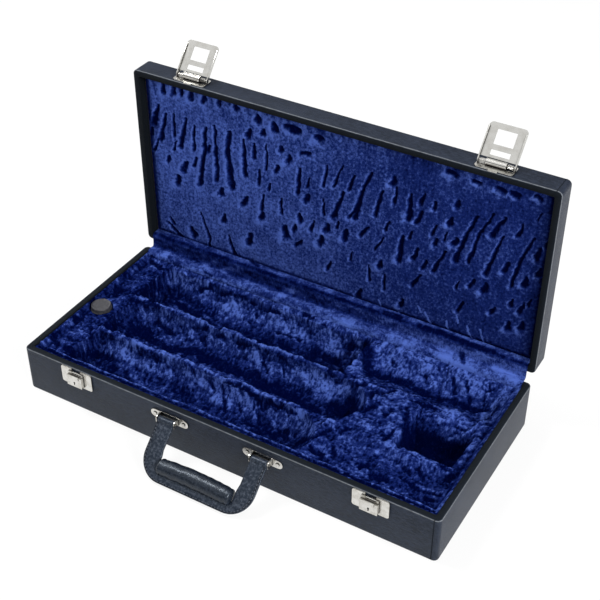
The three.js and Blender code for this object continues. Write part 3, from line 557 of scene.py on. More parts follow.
# Plush bed: half-round channels, a rear slope, a small well, a dish, a pot's hole and a turned up lining
bedShape = {
    "step": 1.12,
    "gap": 0.4,
    "ridgeTop": 44.0,
    "ridgeWidth": 6.0,
    "lipTop": 48.0,
    "lipWidth": 5.0,
    "channelBottom": 17.0,
    "channelHalfWidth": 28.0,
    "channelLeft": -192.0,
    "channelRights": (80.0, 100.0, 62.0),
    "leftEnds": (5.0, 30.0, 5.0),
    "rightEnds": (30.0, 30.0, 5.0),
    "slopeCrease": 30.0,
    "slopeTop": 48.0,
    "slopeStart": 22.0,
    "slopeEnd": 11.0,
    "well": {"left": 146.0, "right": 210.0, "front": -31.0, "back": 20.0, "bottom": 14.0, "steep": 9.0,
             "slant": 0.55},
    "dish": {"front": -88.0, "back": -37.0, "deep": 6.0, "edge": 12.0},
    "pot": {"x": -210.0, "y": -5.0, "radius": 11.9, "floor": 14.7, "collar": 14.0, "fade": 10.0, "rise": 0.8,
            "wall": (0.5, 7.5)},
    "lining": {"top": 50.6, "start": 0.4, "width": 6.0, "valleyShade": 6.3, "valleyWidth": 1.3, "wander": 1.2},
    "lip": {"top": 46.5, "full": 9.0, "end": 12.5, "sides": (2.0, 8.0), "wander": 1.3, "width": 1.2,
            "curl": 8.6, "curlRise": 1.1, "groove": 5.8, "grooveSink": 1.2},
    "ridge": {"wander": 2.2, "before": 8.0, "after": 12.0, "width": 1.4, "rise": 1.3, "uneven": 0.7,
              "gutter": 4.0, "gutterWidth": 1.5},
    "heights": (6.0, 51.4),
    "profilePoints": 2000,
    "wallShare": 0.85,
    "calm": 6.0,
    # how many millimetres each layer of puffs, folds and marks adds to the height
    "relief": {"folds": 0.9, "puffs": 1.2, "lumps": 2.0, "small": 0.6, "dark": -1.5, "bright": 0.6},
    "tuft": 0.22,
    # each noise's sizes across and along, its seed, and for the rough ones the octaves and their share
    "noise": {
        "warpX": (30.0, 30.0, 11),
        "warpY": (30.0, 30.0, 21),
        "lean": (90.0, 60.0, 29),
        "folds": (11.0, 34.0, 31),
        "lumps": (21.0, 17.0, 37, 3, 0.55),
        "puffs": (15.0, 10.0, 41),
        "small": (6.0, 6.0, 47, 3, 0.65),
        "tufts": (3.2, 3.2, 51, 2),
        "markU": (6.0, 6.0, 53),
        "markV": (6.0, 6.0, 55),
        "ridge": (5.0, 5.0, 57),
        "bend": (34.0, 30.0, 59),
        "sway": (22.0, 22.0, 60),
        "streaks": (3.0, 13.0, 61, 3, 0.7),
        "grain": (2.8, 3.2, 63, 2, 0.7),
        "side": (12.0, 12.0, 65),
        "creaseShade": (24.0, 24.0, 67),
        "front": (30.0, 90.0, 68),
        "patches": (26.0, 20.0, 71, 4, 0.6),
        "upright": (12.0, 26.0, 73, 4, 0.6),
        "ridgeLines": ((40.0, 90.0, 201), (40.0, 90.0, 202)),
    },
    # how far places are moved by noise or leant by the way over the bed, as shares or in millimetres
    "drift": {"warp": 1.6, "mark": 1.6, "over": 0.75, "lean": 0.1, "leanNoise": 0.5, "puffs": 0.6,
              "puffsBack": 0.1, "lumps": 0.4, "bend": 0.25, "bendNoise": 9.0, "sway": 5.0},
    # from where to where each mask rises: over slopes, over depths or over places
    "masks": {"facing": (0.15, 1.3), "backWallShade": (0.1, 1.0), "walls": (0.25, 0.75), "creaseShade": (-0.1, 0.25),
              "well": (0.15, 0.6), "wellLeft": (137.0, 148.0), "wellBack": (16.0, 24.0),
              "slopeLeft": (64.0, 84.0), "slopeFront": (58.0, 68.0), "leftEnd": (-205.0, -140.0),
              "rightEnd": (80.0, 130.0), "frontEnd": (-45.0, -10.0), "depth": 27.0},
    # the plain tone on the ground and on the lip, what each layer adds there, and over both
    "plain": 0.52,
    # painted light on walls that face the front and on the ridges' crests; painted shade on walls facing back
    # and with depth
    "ground": {"facing": 0.1, "backWallShade": -0.1, "depth": -0.2, "patches": 0.24, "streaks": 0.13, "small": 0.13,
               "wallStreaks": 0.1, "ridges": 0.32, "lumps": 0.16, "grain": 0.3},
    "plainLip": 0.5,
    "lipShade": {"small": 0.3, "grain": 0.4},
    # painted light on puffs, the rear slope and the lip's roll; the marks' painted shade and highlights
    # painted shade in creases, gutters, the lining's valley, the well, on the flat lip and at both ends;
    "over": {"creaseShade": -0.3, "wallCreaseShade": -0.3, "valleyShade": -0.3, "foldLines": -0.12, "puffLines": -0.14,
             "folds": 0.08, "puffs": 0.1, "dark": -0.62, "bright": 0.17, "slope": 0.12, "well": -0.5,
             "curl": 0.34, "gutterShade": -0.14, "lipFlatShade": -0.22, "leftEnd": -0.17, "frontRight": -0.07},
    "upright": 1.1,
    "creaseShadeGain": 2.2,
    "creaseShadeStart": 0.9,
}

# Marks on the photograph's pixels: a half width in pixels, then the places along the mark
bedMarks = {
    # painted shade in creases, which are also pressed into the velvet
    "dark": [
        [6, (146, 292), (153, 287)], [3.5, (116, 293), (119, 290)], [1.8, (126, 272), (125, 279)],
        [5.5, (130, 334), (140, 331), (147, 337)], [3, (150, 341), (164, 345)],
        [2.6, (158, 322), (166, 330), (176, 334)], [3, (53, 338), (58, 344)],
        [3.2, (66, 348), (76, 353), (95, 354), (110, 358)], [1.8, (74, 322), (82, 320)],
        [1.8, (91, 329), (91, 338)], [1.4, (104, 322), (108, 330)], [2.4, (114, 322), (113, 330)],
        [3.2, (178, 304), (187, 309), (198, 317)], [1.2, (200, 318), (212, 324), (222, 330)],
        [3.2, (168, 349), (182, 351), (192, 353)], [1.1, (130, 300), (150, 302), (162, 307)],
        [2, (200, 290), (208, 288), (215, 287)], [2.2, (222, 293), (235, 295), (247, 298)],
        [2, (252, 302), (260, 304)], [1.2, (256, 313), (257, 317)], [2.4, (266, 309), (278, 313)],
        [1.8, (197, 328), (206, 328)], [1.8, (218, 335), (224, 337)], [2.4, (203, 338), (204, 344)],
        [1.5, (232, 338), (242, 343), (252, 347)], [5, (198, 354), (210, 360), (222, 366)],
        [4, (228, 368), (238, 372)], [4, (246, 376), (256, 374)], [3, (260, 341), (268, 342)],
        [3.6, (281, 344), (288, 348)], [1.3, (260, 348), (272, 353), (286, 358)],
        [1.3, (275, 332), (287, 335), (300, 340)], [4.5, (312, 353), (317, 349)],
        [1.5, (302, 314), (312, 318)], [6, (258, 382), (270, 388), (285, 396), (297, 402)],
        [4, (303, 406), (312, 410), (318, 413)], [7, (332, 407), (345, 411), (353, 405)],
        [3, (324, 357), (333, 360), (338, 364)], [6, (347, 350), (351, 345)], [1.5, (338, 364), (346, 375)],
        [1.4, (329, 370), (334, 376)], [1.8, (226, 381), (240, 388), (256, 394)],
        [2.4, (268, 402), (280, 407)], [2, (288, 412), (296, 414)], [1, (213, 383), (214, 392)],
        [1, (228, 396), (226, 404)], [2, (224, 402), (226, 410)], [0.8, (240, 402), (240, 412)],
        [1, (258, 412), (258, 424)], [1, (260, 400), (262, 410)], [3, (272, 435), (280, 433), (288, 432)],
        [2, (244, 422), (252, 426), (260, 430)], [1.8, (294, 446), (306, 441), (318, 436), (330, 430)],
        [3, (310, 448), (322, 455)], [1.2, (263, 362), (268, 374)], [1.5, (283, 370), (285, 377)],
        [4.8, (366, 343), (367, 352), (368, 362), (367, 370)], [4, (369, 372), (379, 375)],
        [3.4, (385, 377), (400, 380), (410, 384)], [3.4, (416, 388), (429, 395)],
        [2.2, (392, 360), (395, 366)], [1.8, (384, 392), (394, 391)],
        [1.5, (416, 402), (428, 406), (440, 411)], [1.9, (453, 378), (455, 395)],
        [1.9, (467, 383), (470, 403)], [1.5, (490, 385), (484, 400)], [1.2, (426, 374), (426, 382)],
        [3, (440, 399), (455, 402)], [3, (462, 405), (472, 410), (488, 411)], [2.2, (404, 418), (408, 408)],
        [2, (372, 392), (370, 402)], [1.4, (358, 383), (366, 385)], [9, (421, 441), (433, 445)],
        [8, (445, 452), (456, 450)], [6, (450, 459), (444, 464)], [4, (406, 428), (404, 438), (400, 445)],
        [2.6, (407, 418), (406, 428)], [1.8, (383, 441), (395, 430)], [2.6, (333, 448), (334, 456)],
        [2.4, (360, 468), (368, 464)], [4, (372, 476), (385, 480)], [1.8, (402, 466), (410, 473)],
        [1.5, (400, 478), (420, 490), (440, 496)], [2.6, (418, 468), (422, 478)],
        [3.2, (446, 480), (452, 476)], [2, (452, 434), (458, 432)], [3, (362, 410), (378, 403)],
        [2.4, (385, 415), (392, 410)], [2, (425, 498), (434, 501)], [2.4, (152, 262), (160, 268)],
        [1.5, (96, 288), (104, 283)],
    ],
    # painted highlights, on places that are also raised a little
    "bright": [
        [1.2, (122, 298), (133, 296), (145, 298), (153, 300), (162, 303), (173, 307), (185, 313),
         (198, 319), (210, 325), (223, 331), (240, 337), (260, 345), (280, 351), (290, 355)],
        [1.3, (120, 337), (130, 342), (140, 345), (155, 348), (167, 352), (178, 357), (190, 362),
         (205, 367), (215, 372), (225, 377), (238, 382), (255, 388), (270, 394), (285, 401), (300, 408),
         (315, 415), (325, 419), (335, 421), (345, 420), (355, 416), (360, 412)],
        [1, (148, 280), (143, 288)], [4, (95, 327), (103, 328)], [1.5, (227, 304), (225, 312)],
        [4, (236, 308), (240, 316)], [4, (300, 304), (320, 308), (340, 314)],
        [9, (165, 313), (185, 322), (198, 332)], [7, (262, 366), (290, 374), (320, 382), (345, 390)],
        [5, (214, 398), (234, 408), (254, 416)], [6, (395, 345), (410, 348), (420, 344)],
        [4, (330, 318), (350, 324), (362, 330)], [5, (440, 352), (470, 368), (510, 374)],
        [1.5, (392, 333), (395, 348)],
        [2.4, (375, 440), (390, 446), (405, 449), (418, 456), (432, 462), (450, 468)],
        [3.6, (459, 464), (466, 458), (470, 448)], [6, (455, 415), (470, 425), (490, 420)],
        [4, (418, 487), (430, 492), (442, 488)], [1, (416, 437), (424, 434), (436, 435)],
        [5, (340, 440), (355, 446)], [6, (110, 348), (125, 356), (150, 366)], [5, (200, 384), (218, 392)],
    ],
}

# The bed's half length and half depth, and the middle line of each channel
bedLong, bedDeep = (half - wall["thickness"] - bedShape["gap"] for half in (halfLength, halfDepth))
bedPitch = 2 * bedShape["channelHalfWidth"] + bedShape["ridgeWidth"]
bedFirst = bedShape["lipWidth"] + bedShape["channelHalfWidth"] - bedDeep
bedMiddles = [bedFirst + step * bedPitch for step in range(3)]


# The bed's plain height, as in the CAD solid: the top less the deepest of its channels and wells.
# Also how far each place is inside a channel or well
def bedPlain(x, y, shape):
    top, lip, half = shape["ridgeTop"], shape["lipTop"], shape["channelHalfWidth"]
    crease = bedMiddles[2]
    height = top + (lip - top) * (1 - ease(0.0, shape["lipWidth"], y + bedDeep))
    height = height + (lip - top) * ease(crease + half, bedDeep, y)
    inside = np.zeros_like(x)
    for step, middle in enumerate(bedMiddles):
        right, leftEnd, rightEnd = (shape[key][step] for key in ("channelRights", "leftEnds", "rightEnds"))
        past = np.maximum((shape["channelLeft"] + leftEnd - x) / leftEnd, (x - right + rightEnd) / rightEnd)
        reach = np.hypot(np.maximum(past, 0.0), (y - middle) / half)
        depth = np.sqrt(np.maximum(0.0, 1 - reach * reach))
        inside = np.maximum(inside, depth)
        height = np.where(reach < 1, np.minimum(height, top - depth * (top - shape["channelBottom"])), height)

    # the rear slope, right of the last channel: down from the ridge to a crease and up to the back wall
    left, start = shape["channelRights"][2], crease - half
    along = ease(left, left + shape["slopeStart"], x) * (1 - ease(bedLong - shape["slopeEnd"], bedLong, x))
    down = np.where(y < crease, ease(start, crease, y), 1 - ease(crease, bedDeep, y))
    rim = np.where(y < crease, top, shape["slopeTop"])
    height = np.where((x > left) & (y > start), rim - (rim - shape["slopeCrease"]) * down * along, height)

    well, dish, pot = shape["well"], shape["dish"], shape["pot"]
    nearest = np.minimum(np.minimum(x - well["left"], well["right"] - x),
                         np.minimum(y - well["front"], (well["back"] - y) * well["slant"]))
    sunk = ease(0.0, well["steep"], nearest)
    height = height - sunk * (height - well["bottom"])
    left = shape["channelRights"][0]
    nearest = np.minimum(np.minimum(x - left, bedLong - x), np.minimum(y - dish["front"], dish["back"] - y))
    height = height - dish["deep"] * ease(0.0, dish["edge"], nearest) * (x > left)
    # the plush is pushed up a little round the pot, running out before the left wall
    around = 1 - ease(0.0, pot["fade"], np.hypot(x - pot["x"], y - pot["y"]) - pot["collar"])
    height = height + pot["rise"] * around * ease(*pot["wall"], bedLong - np.abs(x))
    return height, np.maximum(inside, sunk)


slabSharp = 60
sideShade = 0.4                       # the slab's sides are in the shade of the walls


# A closed slab under a field of heights: the field, straight sides and one flat bottom face
def slabPiece(name, across, along, heights, bottom, material, place, toneAndShade):
    a, b = np.meshgrid(across, along)
    rows, columns = a.shape
    top = np.stack(place(a, b, heights), -1).reshape(-1, 3)
    faces = gridFaces(rows, columns)
    index = np.arange(rows * columns).reshape(rows, columns)
    border = np.concatenate([index[0, :-1], index[:-1, -1], index[-1, :0:-1], index[:0:-1, 0]])
    below = np.stack(place(a.reshape(-1)[border], b.reshape(-1)[border], np.full(len(border), bottom)), -1)
    low = np.arange(len(border)) + rows * columns
    sides = np.stack([border, low, np.roll(low, -1), np.roll(border, -1)], -1).tolist()
    faces += sides + [low[::-1].tolist()]
    piece = makePiece(name, np.concatenate([top, below]), faces, material, slabSharp)
    setVertexShade(piece, np.concatenate([toneAndShade.reshape(-1), toneAndShade.reshape(-1)[border] * sideShade]))
    return piece


# Rows at even steps over the channels' profile, so that steep walls get as many as flat places
def bedRows(shape):
    fine = np.linspace(-bedDeep, bedDeep, shape["profilePoints"])
    profile = bedPlain(np.zeros_like(fine), fine, shape)[0]
    travel = pathLengths(np.stack([fine, profile * shape["wallShare"]], -1))
    return np.interp(np.linspace(0, travel[-1], int(travel[-1] / shape["step"]) + 1), travel, fine)


# A sum of layers, each times its weight
def weighted(layers, weights):
    return sum(layers[name] * weight for name, weight in weights.items())


# The bed's masks, noises and marks on its plain height, and that height, all by name
def bedLayers(x, y, along, shape, marks):
    noise, drift, masks = (shape[key] for key in ("noise", "drift", "masks"))
    warpX = x + roughNoise(x, y, *noise["warpX"]) * drift["warp"]
    warpY = y + roughNoise(x, y, *noise["warpY"]) * drift["warp"]
    height, inside = bedPlain(warpX, warpY, shape)
    slope = np.gradient(height, along, axis=0)
    # the way over the surface from the front, so that marks on walls aren't drawn out
    rise = np.diff(height, axis=0, prepend=height[:1])
    over = np.cumsum(np.hypot(np.diff(y, axis=0, prepend=y[:1]), rise), axis=0)
    over = over * drift["over"] + y * (1 - drift["over"])
    lean = x + over * (drift["lean"] + drift["leanNoise"] * softNoise(x, y, *noise["lean"]))
    folds, foldLines = crumple(lean, over, *noise["folds"])
    puffs, puffLines = crumple(x + over * drift["puffs"], over - x * drift["puffsBack"], *noise["puffs"])
    u, v = photoPixels(x, y, height)
    u = u + roughNoise(x, y, *noise["markU"]) * drift["mark"]
    v = v + roughNoise(x, y, *noise["markV"]) * drift["mark"]
    calm = ease(0.0, shape["calm"], np.minimum(bedLong - np.abs(x), bedDeep - np.abs(y)))
    walls = ease(*masks["walls"], inside)
    layers = {
        "height": height, "inside": inside, "over": over, "lean": lean, "calm": calm,
        "facing": ease(*masks["facing"], slope),         # walls that face the front
        "backWallShade": ease(*masks["backWallShade"], -slope),
        "folds": folds * walls, "foldLines": foldLines * walls, "puffs": puffs, "puffLines": puffLines,
        "lumps": roughNoise(x - over * drift["lumps"], over, *noise["lumps"]),
        "dark": underStrokes(u, v, marks["dark"]), "bright": underStrokes(u, v, marks["bright"]),
    }
    for name in ("small", "tufts", "grain"):
        layers[name] = roughNoise(x, over, *noise[name])
    return layers


# The bed's height: folds and marks, sewn ridges, the turned up lining, the padded lip and the pot's hole
def bedHeight(x, y, layers, shape):
    height = layers["height"] + layers["calm"] * weighted(layers, shape["relief"])
    height = height + layers["tufts"] * shape["tuft"]
    noise, ridge, lining, lip, pot = (shape[key] for key in ("noise", "ridge", "lining", "lip", "pot"))
    ridges, gutterShade = np.zeros_like(x), np.zeros_like(x)
    for line, middle, right in zip(noise["ridgeLines"], bedMiddles[1:], shape["channelRights"]):
        middle = middle - bedPitch / 2 + roughNoise(x, y, *line) * ridge["wander"]
        reach = (x > shape["channelLeft"] - ridge["before"]) & (x < right + ridge["after"])
        ridges = np.maximum(ridges, bell(y - middle, ridge["width"]) * reach)
        beside = np.abs(y - middle) - ridge["gutter"]
        gutterShade = np.maximum(gutterShade, bell(beside, ridge["gutterWidth"]) * reach)
    height = height + ridges * (ridge["rise"] + ridge["uneven"] * softNoise(x, y, *noise["ridge"]))
    # the lining is turned up along the front, left and right walls, in a soft roll
    side = np.minimum(bedLong - np.abs(x), y + bedDeep) + roughNoise(x, y, *noise["side"]) * lining["wander"]
    roll = 1 - ease(lining["start"], lining["width"], side)
    height = height + roll * np.maximum(lining["top"] - height, 0.0)
    # and the front lip is padded out to a second, thinner roll
    front = y + bedDeep + roughNoise(x, y, *noise["front"]) * lip["wander"]
    fill = (1 - ease(lip["full"], lip["end"], front)) * ease(*lip["sides"], bedLong - np.abs(x))
    curl = bell(front - lip["curl"], lip["width"])
    height = height + fill * np.maximum(lip["top"] - height, 0.0)
    height = height + curl * lip["curlRise"] - lip["grooveSink"] * bell(front - lip["groove"], lip["width"])
    height = np.where(np.hypot(x - pot["x"], y - pot["y"]) < pot["radius"], pot["floor"], height)
    valleyShade = bell(side - lining["valleyShade"], lining["valleyWidth"])
    layers.update({"ridges": ridges, "gutterShade": gutterShade, "valleyShade": valleyShade, "fill": fill, "curl": curl})
    return np.clip(height, *shape["heights"])


# The bed's tone with painted light and shade: patches, broad on flat places and upright on the walls that
# face the front, streaks along the folds, painted shade in creases, with depth, at the edges and under the
# marks, and painted highlights
def bedToneAndShade(x, y, height, layers, shape):
    noise, drift, masks = (shape[key] for key in ("noise", "drift", "masks"))
    over, lean, facing, calm = (layers[name] for name in ("over", "lean", "facing", "calm"))
    patches = roughNoise(x, over, *noise["patches"]) * (1 - facing)
    patches = patches + roughNoise(lean, over, *noise["upright"]) * facing * shape["upright"]
    bend = x + over * drift["bend"] + drift["bendNoise"] * softNoise(x, over, *noise["bend"])
    sway = over + drift["sway"] * softNoise(x, over, *noise["sway"])
    streaks = roughNoise(bend, sway, *noise["streaks"])
    creaseShade = np.clip(streaks * shape["creaseShadeGain"] - shape["creaseShadeStart"], 0.0, 1.0)
    creaseShade = calm * creaseShade * ease(*masks["creaseShade"], softNoise(x, y, *noise["creaseShade"]))
    depth = np.clip((shape["ridgeTop"] - height) / masks["depth"], 0.0, 1.0)
    fill, well = layers["fill"], ease(*masks["well"], layers["inside"])
    layers.update({
        "patches": patches, "streaks": streaks, "wallStreaks": streaks * facing,
        "creaseShade": creaseShade, "wallCreaseShade": creaseShade * facing, "depth": depth * (1 - facing),
        "lipFlatShade": fill * (1 - layers["curl"]),
        "slope": ease(*masks["slopeLeft"], x) * ease(*masks["slopeFront"], y),
        "well": well * ease(*masks["wellLeft"], x) * (1 - ease(*masks["wellBack"], y)),
        # the left end and the front right corner lie away from the light
        "leftEnd": 1 - ease(*masks["leftEnd"], x),
        "frontRight": ease(*masks["rightEnd"], x) * (1 - ease(*masks["frontEnd"], y)),
    })
    for name in ("foldLines", "puffLines", "folds", "puffs"):
        layers[name] = layers[name] * calm
    ground = shape["plain"] + weighted(layers, shape["ground"])
    lip = shape["plainLip"] + weighted(layers, shape["lipShade"])
    return ground * (1 - fill) + lip * fill + weighted(layers, shape["over"])


def makeBed(shape, marks):
    across = np.linspace(-bedLong, bedLong, int(2 * bedLong / shape["step"]) + 1)
    along = bedRows(shape)
    x, y = np.meshgrid(across, along)
    layers = bedLayers(x, y, along, shape, marks)
    height = bedHeight(x, y, layers, shape)
    toneAndShade = bedToneAndShade(x, y, height, layers, shape)
    piece = slabPiece("velvet_bed", across, along, height, bedFloor, velvet, lambda a, b, h: (a, b, h), toneAndShade)
    return dress(piece, "velvet", "tray", "plush_bed")


makeBed(bedShape, bedMarks)
print("bed ready")


# Pressed marks of the lid's velvet, with painted shade in them and painted highlights beside them:
# strokes on the photograph's pixels, and painted glints of light
lidStrokes = {
    "glints": [
        [(425, 312), (430, 324)], [(446, 321), (449, 333)], [(457, 316), (458, 323)],
        [(467, 326), (471, 339)], [(480, 330), (483, 343)], [(418, 306), (421, 312)],
        [(398, 312), (401, 318)], [(378, 300), (380, 306)],
    ],
    "thin": [
        [(158, 140), (155, 150)], [(152, 128), (151, 134)], [(176, 142), (174, 150)],
        [(196, 158), (194, 166)], [(270, 184), (269, 190)], [(309, 178), (307, 188)],
        [(313, 222), (311, 230)], [(338, 222), (336, 228)], [(389, 222), (385, 230)],
        [(330, 262), (327, 268)], [(352, 252), (350, 260)], [(436, 226), (432, 234)],
        [(447, 234), (444, 240)], [(411, 232), (409, 238)], [(426, 262), (422, 268)],
        [(541, 214), (538, 220)], [(549, 240), (546, 248)], [(531, 300), (528, 306)],
        [(459, 282), (456, 288)], [(512, 300), (510, 306)], [(174, 114), (174, 136)],
        [(194, 126), (194, 150)], [(254, 144), (254, 157)], [(266, 144), (266, 170)],
        [(259, 171), (259, 184)], [(327, 166), (323, 186)], [(343, 166), (333, 186)],
        [(354, 176), (349, 189)], [(323, 200), (323, 214)], [(263, 196), (261, 210)],
        [(228, 236), (236, 260)], [(170, 217), (174, 224)], [(368, 228), (360, 235)],
        [(369, 266), (369, 280)], [(384, 275), (384, 289)], [(420, 275), (412, 285)],
        [(201, 213), (210, 239), (209, 247)], [(523, 226), (517, 236)], [(281, 199), (281, 213)],
        [(168, 222), (184, 240)], [(474, 280), (469, 286)], [(383, 239), (375, 249)],
    ],
    "middle": [
        [(163, 82), (163, 92)], [(173, 83), (173, 93)], [(181, 86), (181, 94)], [(191, 90), (190, 98)],
        [(204, 95), (203, 101)], [(219, 99), (219, 104)], [(158, 106), (154, 123)],
        [(165, 114), (161, 140)], [(186, 120), (180, 146)], [(205, 129), (204, 151), (200, 184)],
        [(214, 126), (217, 181)], [(229, 133), (227, 151), (232, 187)], [(243, 140), (245, 176)],
        [(299, 169), (298, 193)], [(343, 193), (333, 217)], [(357, 206), (349, 217)],
        [(371, 174), (360, 197), (355, 217)], [(383, 191), (375, 215)], [(397, 189), (394, 203)],
        [(411, 195), (408, 219)], [(425, 194), (420, 204)], [(422, 212), (416, 222)],
        [(477, 217), (466, 236), (455, 260)], [(494, 215), (479, 234), (468, 262)],
        [(505, 219), (492, 235)], [(503, 237), (485, 274)], [(534, 239), (520, 262), (511, 286)],
        [(402, 237), (399, 260)], [(445, 252), (433, 271)], [(310, 154), (300, 153)],
        [(417, 250), (413, 258)], [(463, 303), (457, 311)],
    ],
    "broad": [
        [(235, 104), (236, 108)], [(286, 126), (299, 131)], [(209, 147), (208, 151)],
        [(222, 190), (221, 193)], [(263, 130), (263, 133)], [(307, 196), (306, 200)],
        [(327, 226), (326, 230)], [(295, 226), (294, 230)], [(262, 214), (261, 218)],
        [(380, 262), (379, 266)], [(436, 240), (434, 244)], [(456, 240), (454, 243)],
        [(540, 270), (538, 275)], [(548, 290), (547, 294)], [(249, 131), (248, 135)],
        [(169, 156), (168, 160)], [(186, 163), (184, 169)], [(179, 177), (178, 183)],
        [(281, 147), (281, 150)], [(289, 157), (288, 160)], [(278, 167), (276, 171)],
        [(257, 116), (258, 121)], [(273, 124), (275, 130)], [(290, 131), (300, 133)],
        [(316, 137), (320, 139)], [(246, 198), (243, 204)], [(299, 215), (300, 221)],
        [(284, 228), (286, 236)], [(301, 241), (296, 245)], [(321, 237), (320, 243)],
        [(346, 231), (344, 237)], [(224, 215), (224, 221)], [(250, 235), (249, 242)],
        [(191, 228), (195, 236)], [(458, 202), (457, 206)], [(451, 219), (450, 223)],
        [(435, 203), (434, 208)], [(394, 178), (393, 183)], [(540, 250), (536, 258)],
        [(507, 264), (504, 271)], [(526, 279), (524, 284)], [(523, 304), (519, 312)],
        [(508, 324), (507, 328)], [(522, 323), (521, 328)], [(494, 308), (491, 312)],
        [(486, 285), (483, 290)], [(360, 290), (358, 295)], [(402, 300), (400, 305)],
        [(448, 171), (454, 174)], [(474, 181), (480, 184)], [(497, 188), (503, 190)],
        [(511, 192), (517, 195)], [(535, 196), (541, 199)],
    ],
}


# The lid's padded panel: sizes, how deep its marks are pressed, and their drop shape in half widths
lidPanel = {
    "step": 1.1,
    "inset": 0.05,
    "face": 9.0,
    "edge": 10.0,
    "edgeSink": 1.4,
    "sink": 2.2,
    "lump": 0.6,
    "tuft": 0.12,
    "litRise": 0.5,
    "calm": {"dent": 5.0, "lump": 4.0},
    "warp": 1.1,
    "widths": {"thin": 1.6, "middle": 2.3, "broad": 2.9},
    "unlike": (0.22, 2.4),
    "glint": 0.9,
    "drop": {"top": 0.78, "lower": 0.54, "uneven": 0.3, "shortest": 4.0, "fade": (0.3, 1.25),
             "litRight": 0.9, "litUp": 0.5, "lit": 0.75, "haloHighlight": 1.5, "haloHighlightWidth": 0.45},
    "noise": {
        "warpX": (9.0, 9.0, 81),
        "warpZ": (9.0, 9.0, 91),
        "wobble": (5.0, 5.0, 143),
        "lumps": (18.0, 24.0, 101),
        "tufts": (3.4, 3.4, 111, 2),
        "streaks": (5.0, 26.0, 121, 3, 0.6),
        "patches": (46.0, 34.0, 131, 4, 0.6),
        "speckle": (2.7, 2.7, 137, 2, 0.7),
        "pleatShading": (5.0, 40.0, 139),
    },
    "masks": {"shadeToRight": (-120.0, 190.0), "lean": 0.2, "streakLean": 0.1, "pleatShading": 7.0,
              "edge": (0.3, 1.0)},
    # the plain tone at the left, and what each layer adds, mostly painted light and shade
    "plain": 0.675,
    # painted shade to the right, in the dents and at the rolled edge; painted highlights round the dents,
    # glints and pleats
    "shade": {"shadeToRight": -0.26, "patches": 0.08, "streaks": 0.06, "speckle": 0.2, "pleatShading": 0.8,
              "lit": 0.24, "litRight": 0.24, "haloHighlight": 0.1, "dent": -0.68,
              "dentRight": 0.12, "edge": -0.45, "glints": 0.7},
}


# How far each place is pressed in by the marks, and how much painted highlight lies beside them and in the
# halo round them.
# A mark is drop shaped: it widens towards its lower end, with an uneven outline
def lidMarks(u, v, wobble, shape, strokes):
    dent, lit, haloHighlight = np.zeros_like(u), np.zeros_like(u), np.zeros_like(u)
    drop, (unlike, turn) = shape["drop"], shape["unlike"]
    for kind, width in shape["widths"].items():
        for place, run in enumerate(strokes[kind]):
            half = width * (1 + unlike * math.sin(place * turn))      # no two marks are quite alike
            lower = np.clip((v - run[0][1]) / max(run[-1][1] - run[0][1], drop["shortest"]), 0.0, 1.0)
            half = half * (drop["top"] + drop["lower"] * lower) * (1 + drop["uneven"] * wobble)
            distance = strokeDistance(u, v, run) / half
            beside = strokeDistance(u + half * drop["litRight"], v - half * drop["litUp"], run) / half
            dent = np.maximum(dent, 1 - ease(*drop["fade"], distance))
            lit = np.maximum(lit, bell(beside, drop["lit"]))
            haloHighlight = np.maximum(haloHighlight, bell(distance - drop["haloHighlight"], drop["haloHighlightWidth"]))
    return dent, lit * (1 - dent), haloHighlight * (1 - dent)


# The panel stands: its heights are measured forward from the lid's top board
def panelPlace(across, along, height):
    return across, panelBack - height, along


def makeLidPanel(shape, strokes):
    noise, masks = shape["noise"], shape["masks"]
    halfLong = halfLength - wall["thickness"] - shape["inset"]
    low = lidFoot + wall["thickness"] + shape["inset"]
    high = lidHead - wall["thickness"] - shape["inset"]
    face = rimPlane + shape["face"]
    across = np.linspace(-halfLong, halfLong, int(2 * halfLong / shape["step"]) + 1)
    along = np.linspace(low, high, int((high - low) / shape["step"]) + 1)
    x, z = np.meshgrid(across, along)
    wavyX = x + roughNoise(x, z, *noise["warpX"]) * shape["warp"]
    wavyZ = z + roughNoise(x, z, *noise["warpZ"]) * shape["warp"]
    u, v = photoPixels(wavyX, np.full_like(x, face), wavyZ)
    dent, lit, haloHighlight = lidMarks(u, v, softNoise(x, z, *noise["wobble"]), shape, strokes)
    edge = np.minimum(halfLong - np.abs(x), np.minimum(z - low, high - z))
    roll = 1 - ease(0.0, shape["edge"], edge)
    padding = roughNoise(x, z, *noise["lumps"]) * shape["lump"]
    padding = padding + roughNoise(x, z, *noise["tufts"]) * shape["tuft"]
    dented = dent * ease(0.0, shape["calm"]["dent"], edge)
    height = panelBack - face - roll ** 2 * shape["edgeSink"] - dented * shape["sink"]
    height = height + (padding + lit * shape["litRise"]) * ease(0.0, shape["calm"]["lump"], edge)
    shadeToRight = ease(*masks["shadeToRight"], x + (z - low) * masks["lean"])
    # painted light and shade of pleats along the head, where the velvet is drawn over the panel's edge; the
    # pleats are not in the height
    pleatShading = softNoise(x + z * masks["lean"], z, *noise["pleatShading"]) * np.exp(-(high - z) / masks["pleatShading"])
    layers = {
        "shadeToRight": shadeToRight, "pleatShading": pleatShading, "lit": lit, "litRight": lit * shadeToRight, "haloHighlight": haloHighlight,
        "patches": roughNoise(x, z, *noise["patches"]), "speckle": roughNoise(x, z, *noise["speckle"]),
        "streaks": roughNoise(x + z * masks["streakLean"], z, *noise["streaks"]),
        "dent": dent, "dentRight": dent * shadeToRight, "edge": ease(*masks["edge"], roll),
        "glints": underStrokes(u, v, [[shape["glint"]] + run for run in strokes["glints"]]),
    }
    toneAndShade = shape["plain"] + weighted(layers, shape["shade"])
    piece = slabPiece("velvet_panel", across, along, height, 0.0, velvetCalm, panelPlace, toneAndShade)
    return dress(piece, "velvet", "lid", "lid_panel")


makeLidPanel(lidPanel, lidStrokes)
print("lid panel ready")


